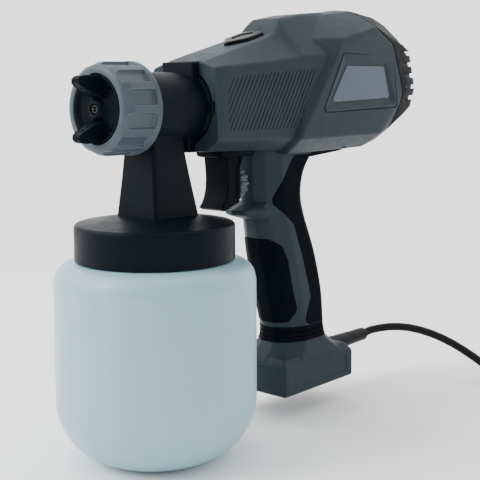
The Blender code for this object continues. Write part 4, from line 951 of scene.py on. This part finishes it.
def make_head():
    rim, top, radius = 111.5, 131.5, 44.5
    dome = top + 4.2
    rounding = [(radius - 2.0 + 2.0 * math.cos(a), top - 2.0 + 2.0 * math.sin(a))
                for a in (math.pi / 2 * k / 6 for k in range(7))]
    lid = turned([
        (42.0, rim), (radius - 0.5, rim), (radius, rim + 0.5), *rounding, (38.0, top + 0.55), (33.0, top + 1.35),
        (28.0, top + 2.4), (23.0, top + 3.3), (18.0, top + 3.9), (12.0, dome), (0, dome + 0.2),
        (0, top - 2.6), (42.0, top - 3.6),
    ], (0, 0, 0), Z_AXIS, 120)
    head = to_object("head", lid)
    levels = (
        (17.6, 17.9, top + 0.6, 2.6), (16.6, 17.2, top + 2.2, 2.6), (15.9, 16.8, top + 4.0, 2.5),
        (13.7, 13.9, SPRAY_Z - 38.0, 1.3), (12.6, 12.4, SPRAY_Z - 26.0, 0.6), (11.6, 11.2, SPRAY_Z - 10.0, 0.3),
    )
    neck = loft([square_ring(x, y, z, 2.2, middle) for x, y, z, middle in levels])
    barrel = turned([
        (0, -34.5), (9.0, -34.5), (9.0, -30.0), (17.0, -30.0), (17.0, -16.0), (19.2, -16.0), (19.5, -15.7),
        (19.5, 22.8), (20.9, 24.6), (21.0, 43.6), (20.6, 44.0), (0, 44.0),
    ], ON_SPRAY_AXIS, Y_AXIS, 96)
    latch = bevel_edges(box((-12.0, 18.5, SPRAY_Z + 12), (12.0, 38, SPRAY_Z + 25.2)), 0.7)
    low_latch = bevel_edges(box((-8.5, 19.0, SPRAY_Z - 25.2), (8.5, 34, SPRAY_Z - 12)), 0.7)
    lugs = bevel_edges(box((-23.9, 22.0, SPRAY_Z - 3.5), (23.9, 36.0, SPRAY_Z + 3.0)), 0.5)
    air_bore = turned([(7.0, -24), (16.5, -24), (16.5, 45), (7.0, 45)], ON_SPRAY_AXIS, Y_AXIS, 48)
    outlets = bmesh.new()
    for k in range(6):
        a = math.pi * (2 * k + 1) / 6
        rod(2.4, -32.0, -20.0, (12.6 * math.cos(a), 0, SPRAY_Z + 12.6 * math.sin(a)), Y_AXIS, 20, outlets)
    web = loft([square_ring(5.0, 8.0, z, 0.5) for z in (SPRAY_Z - 19.0, SPRAY_Z - 2.0)])
    rod_bore = turned([
        (0, -36.0), (4.8, -36.0), (4.8, -20.0), (2.0, -20.0), (2.0, 20.0), (4.3, 20.0), (4.3, 50.0), (0, 50.0),
    ], ON_SPRAY_AXIS, Y_AXIS, 28)
    boolean(head, [
        (JOIN, neck), (JOIN, barrel), (JOIN, latch), (JOIN, low_latch), (JOIN, lugs),
        (CUT, air_bore), (CUT, outlets), (JOIN, web), (CUT, rod_bore),
        (CUT, rod(2.0, top - 8.0, SPRAY_Z, (0, 0, 0), Z_AXIS, 20)),
        (CUT, rod(4.5, top - 8.0, top + 9.0, (0, 0, 0), Z_AXIS, 24)),
    ])
    finish_piece(head, "lid_and_barrel", HEAD, "spray_head", ["spray_head"], angle=34)


def make_nut():
    r, front, rear = 25.2, -41.0, -16.4
    nut = to_object("nut", turned([
        (17.4, rear), (r - 0.5, rear), (r, rear - 0.5), (r, rear - 1.9), (r - 0.35, rear - 2.5),
        (r - 0.5, front + 6.2), (r - 0.75, front + 4.4), (r - 1.6, front + 2.2), (r - 2.5, front + 1.05),
        (r - 3.6, front + 0.3), (r - 4.8, front), (18.9, front), (18.5, front + 0.4), (18.5, -33.0), (17.4, -33.0),
    ], ON_SPRAY_AXIS, Y_AXIS, 144))
    flutes = bmesh.new()
    for k in range(12):
        middle = 2 * math.pi * (k + 0.5) / 12
        half = math.radians(10.2)
        section = [(-half - 0.035, 27.2), (-half, 24.7), (-half + 0.025, 23.2), (half - 0.025, 23.2), (half, 24.7),
                   (half + 0.035, 27.2)]
        rings = []
        for y, lift in ((front + 0.4, 0.0), (front + 3.0, 0.0), (rear - 4.2, 0.0), (rear - 3.1, 1.2)):
            rings.append([((radius + lift) * math.cos(middle + angle), y,
                           SPRAY_Z + (radius + lift) * math.sin(middle + angle)) for angle, radius in section])
        loft(rings, flutes)
    boolean(nut, [(CUT, flutes)])
    finish_piece(nut, "ring_nut", NUT_GREY, "union_nut", ["union_nut"], angle=24)


def make_cap():
    cap = to_object("cap", turned([
        (9.4, -33.4), (17.1, -33.4), (18.1, -34.4), (18.1, -39.7), (17.7, -40.3), (17.0, -40.5), (16.2, -40.2),
        (14.6, -38.9), (11.0, -38.4), (8.0, -38.6), (6.2, -39.6), (5.4, -41.2), (4.6, -41.9), (3.5, -42.2),
        (2.9, -41.9), (2.9, -39.6), (4.0, -36.6), (9.4, -36.4),
    ], ON_SPRAY_AXIS, Y_AXIS, 96))
    steps = []
    for side in (1, -1):
        profile = [(5.6, -37.4), (17.3, -37.4), (17.5, -50.0), (16.9, -52.8), (15.6, -54.2), (13.6, -54.2),
                   (12.6, -53.0), (8.2, -45.4)]
        rings = []
        for x in (-4.6, -4.1, 4.1, 4.6):
            rings.append([(x * (0.62 if y < -49 else 1.0), y, SPRAY_Z + side * (z - (0.4 if abs(x) > 4.3 else 0.0)))
                          for z, y in profile])
        steps.append((JOIN, loft(rings)))
    ribs = bmesh.new()
    for a in map(math.radians, (74, 106, 254, 286)):
        along = Vector((math.cos(a), 0, math.sin(a)))
        across = Vector((-math.sin(a), 0, math.cos(a))) * 0.22
        loft([[Vector((0, y, SPRAY_Z)) + along * d + across * s
               for s, y in ((-1, -37.6), (1, -37.6), (1, -39.6), (-1, -39.6))] for d in (6.0, 16.8)], ribs)
    steps.append((JOIN, ribs))
    holes = bmesh.new()
    for x, z in ((9.4, 10.8), (9.4, -10.8), (-9.4, 10.8), (-9.4, -10.8)):
        rod(1.15, -44.0, -30.0, (x, 0, SPRAY_Z + z), Y_AXIS, 20, holes)
    for side in (1, -1):
        for reach in (10.7, 8.8):
            axis = Vector((0, 0.55, side * 0.83)).normalized()
            middle = Vector((0, -45.4 - (reach - 8.2) * 1.72, SPRAY_Z + side * reach))
            across, up = Vector(X_AXIS), axis.cross(Vector(X_AXIS))
            loft([[middle + axis * d + across * math.cos(t) + up * math.sin(t)
                   for t in (2 * math.pi * i / 16 for i in range(16))] for d in (-2.0, 2.6)], holes)
    steps.append((CUT, holes))
    boolean(cap, steps)
    finish_piece(cap, "spray_cap", BLACK, "air_cap", ["air_cap"], angle=28)


def make_relief():
    relief = turned([
        (0, 149.6), (4.6, 149.6), (4.6, 152.1), (3.5, 152.1), (3.5, 155.3), (5.2, 155.4), (5.45, 156.0), (5.4, 160.0),
        (5.0, 170.0), (4.6, 186.0), (4.5, 199.6), (4.2, 201.2), (3.3, 202.0), (0, 202.0),
    ], (0, 0, CORD_EXIT_Z), Y_AXIS, 40)
    finish_piece(to_object("cord_sleeve", relief), "cord_sleeve", RUBBER, "housing", ["strain_relief"])


for make in (make_housing, make_cover, make_skins, make_badges, make_trigger, make_jar, make_head, make_nut,
             make_cap, make_relief):
    make()


# ---------------- floor and light

def studio():
    bm = bmesh.new()
    bm.faces.new([bm.verts.new((x, y, -0.0004)) for x, y in ((-2.5, -2.5), (2.5, -2.5), (2.5, 2.8), (-2.5, 2.8))])
    mesh = bpy.data.meshes.new("floor")
    bm.to_mesh(mesh)
    bm.free()
    floor = new_object("floor", mesh)
    material, tree, shader = new_material("floor_paper")
    position = tree.nodes.new("ShaderNodeTexCoord").outputs["Object"]
    tree.links.new(mix(tree, noise(tree, position, 6.0), (0.94, 0.94, 0.94), (0.97, 0.97, 0.97)),
                   shader.inputs["Base Color"])
    shader.inputs["Roughness"].default_value = 0.9
    shader.inputs["Specular IOR Level"].default_value = 0.1
    length = add_node(tree, "ShaderNodeVectorMath")
    length.operation = "LENGTH"
    tree.links.new(position, length.inputs[0])
    fade = remap(tree, length.outputs["Value"], 0.45, 1.5, 0.0, 1.0)
    clear = tree.nodes.new("ShaderNodeBsdfTransparent")
    blend = tree.nodes.new("ShaderNodeMixShader")
    tree.links.new(fade, blend.inputs[0])
    tree.links.new(shader.outputs[0], blend.inputs[1])
    tree.links.new(clear.outputs[0], blend.inputs[2])
    tree.links.new(blend.outputs[0], tree.nodes["Material Output"].inputs["Surface"])
    mesh.materials.append(material)

    world = bpy.data.worlds.new("studio")
    world.use_nodes = True
    tree = world.node_tree
    direction = tree.nodes.new("ShaderNodeTexCoord").outputs["Generated"]
    lean = add_node(tree, "ShaderNodeVectorMath")
    lean.operation = "DOT_PRODUCT"
    lean.inputs[1].default_value = (-0.60, 0.78, 0.18)
    tree.links.new(direction, lean.inputs[0])
    tree.links.new(remap(tree, lean.outputs["Value"], -0.75, 0.55, 0.40, 2.1),
                   tree.nodes["Background"].inputs["Strength"])
    tree.nodes["Background"].inputs["Color"].default_value = (1, 1, 1, 1)
    bpy.context.scene.world = world
    for name, place, size, power, target in (
        ("key", (-0.7, -1.1, 0.95), 1.2, 30.0, (0.0, 0.0, 0.15)),
        ("fill", (1.3, -0.5, 0.60), 0.9, 4.5, (0.0, 0.1, 0.17)),
        ("top", (-0.5, 0.0, 1.3), 1.2, 8.0, (0.0, 0.1, 0.15)),
    ):
        light = bpy.data.lights.new(name, "AREA")
        light.shape = "DISK"
        light.size = size
        light.energy = power
        lamp = new_object(name, light)
        lamp.location = place
        lamp.rotation_euler = (Vector(target) - Vector(place)).to_track_quat("-Z", "Y").to_euler()


studio()
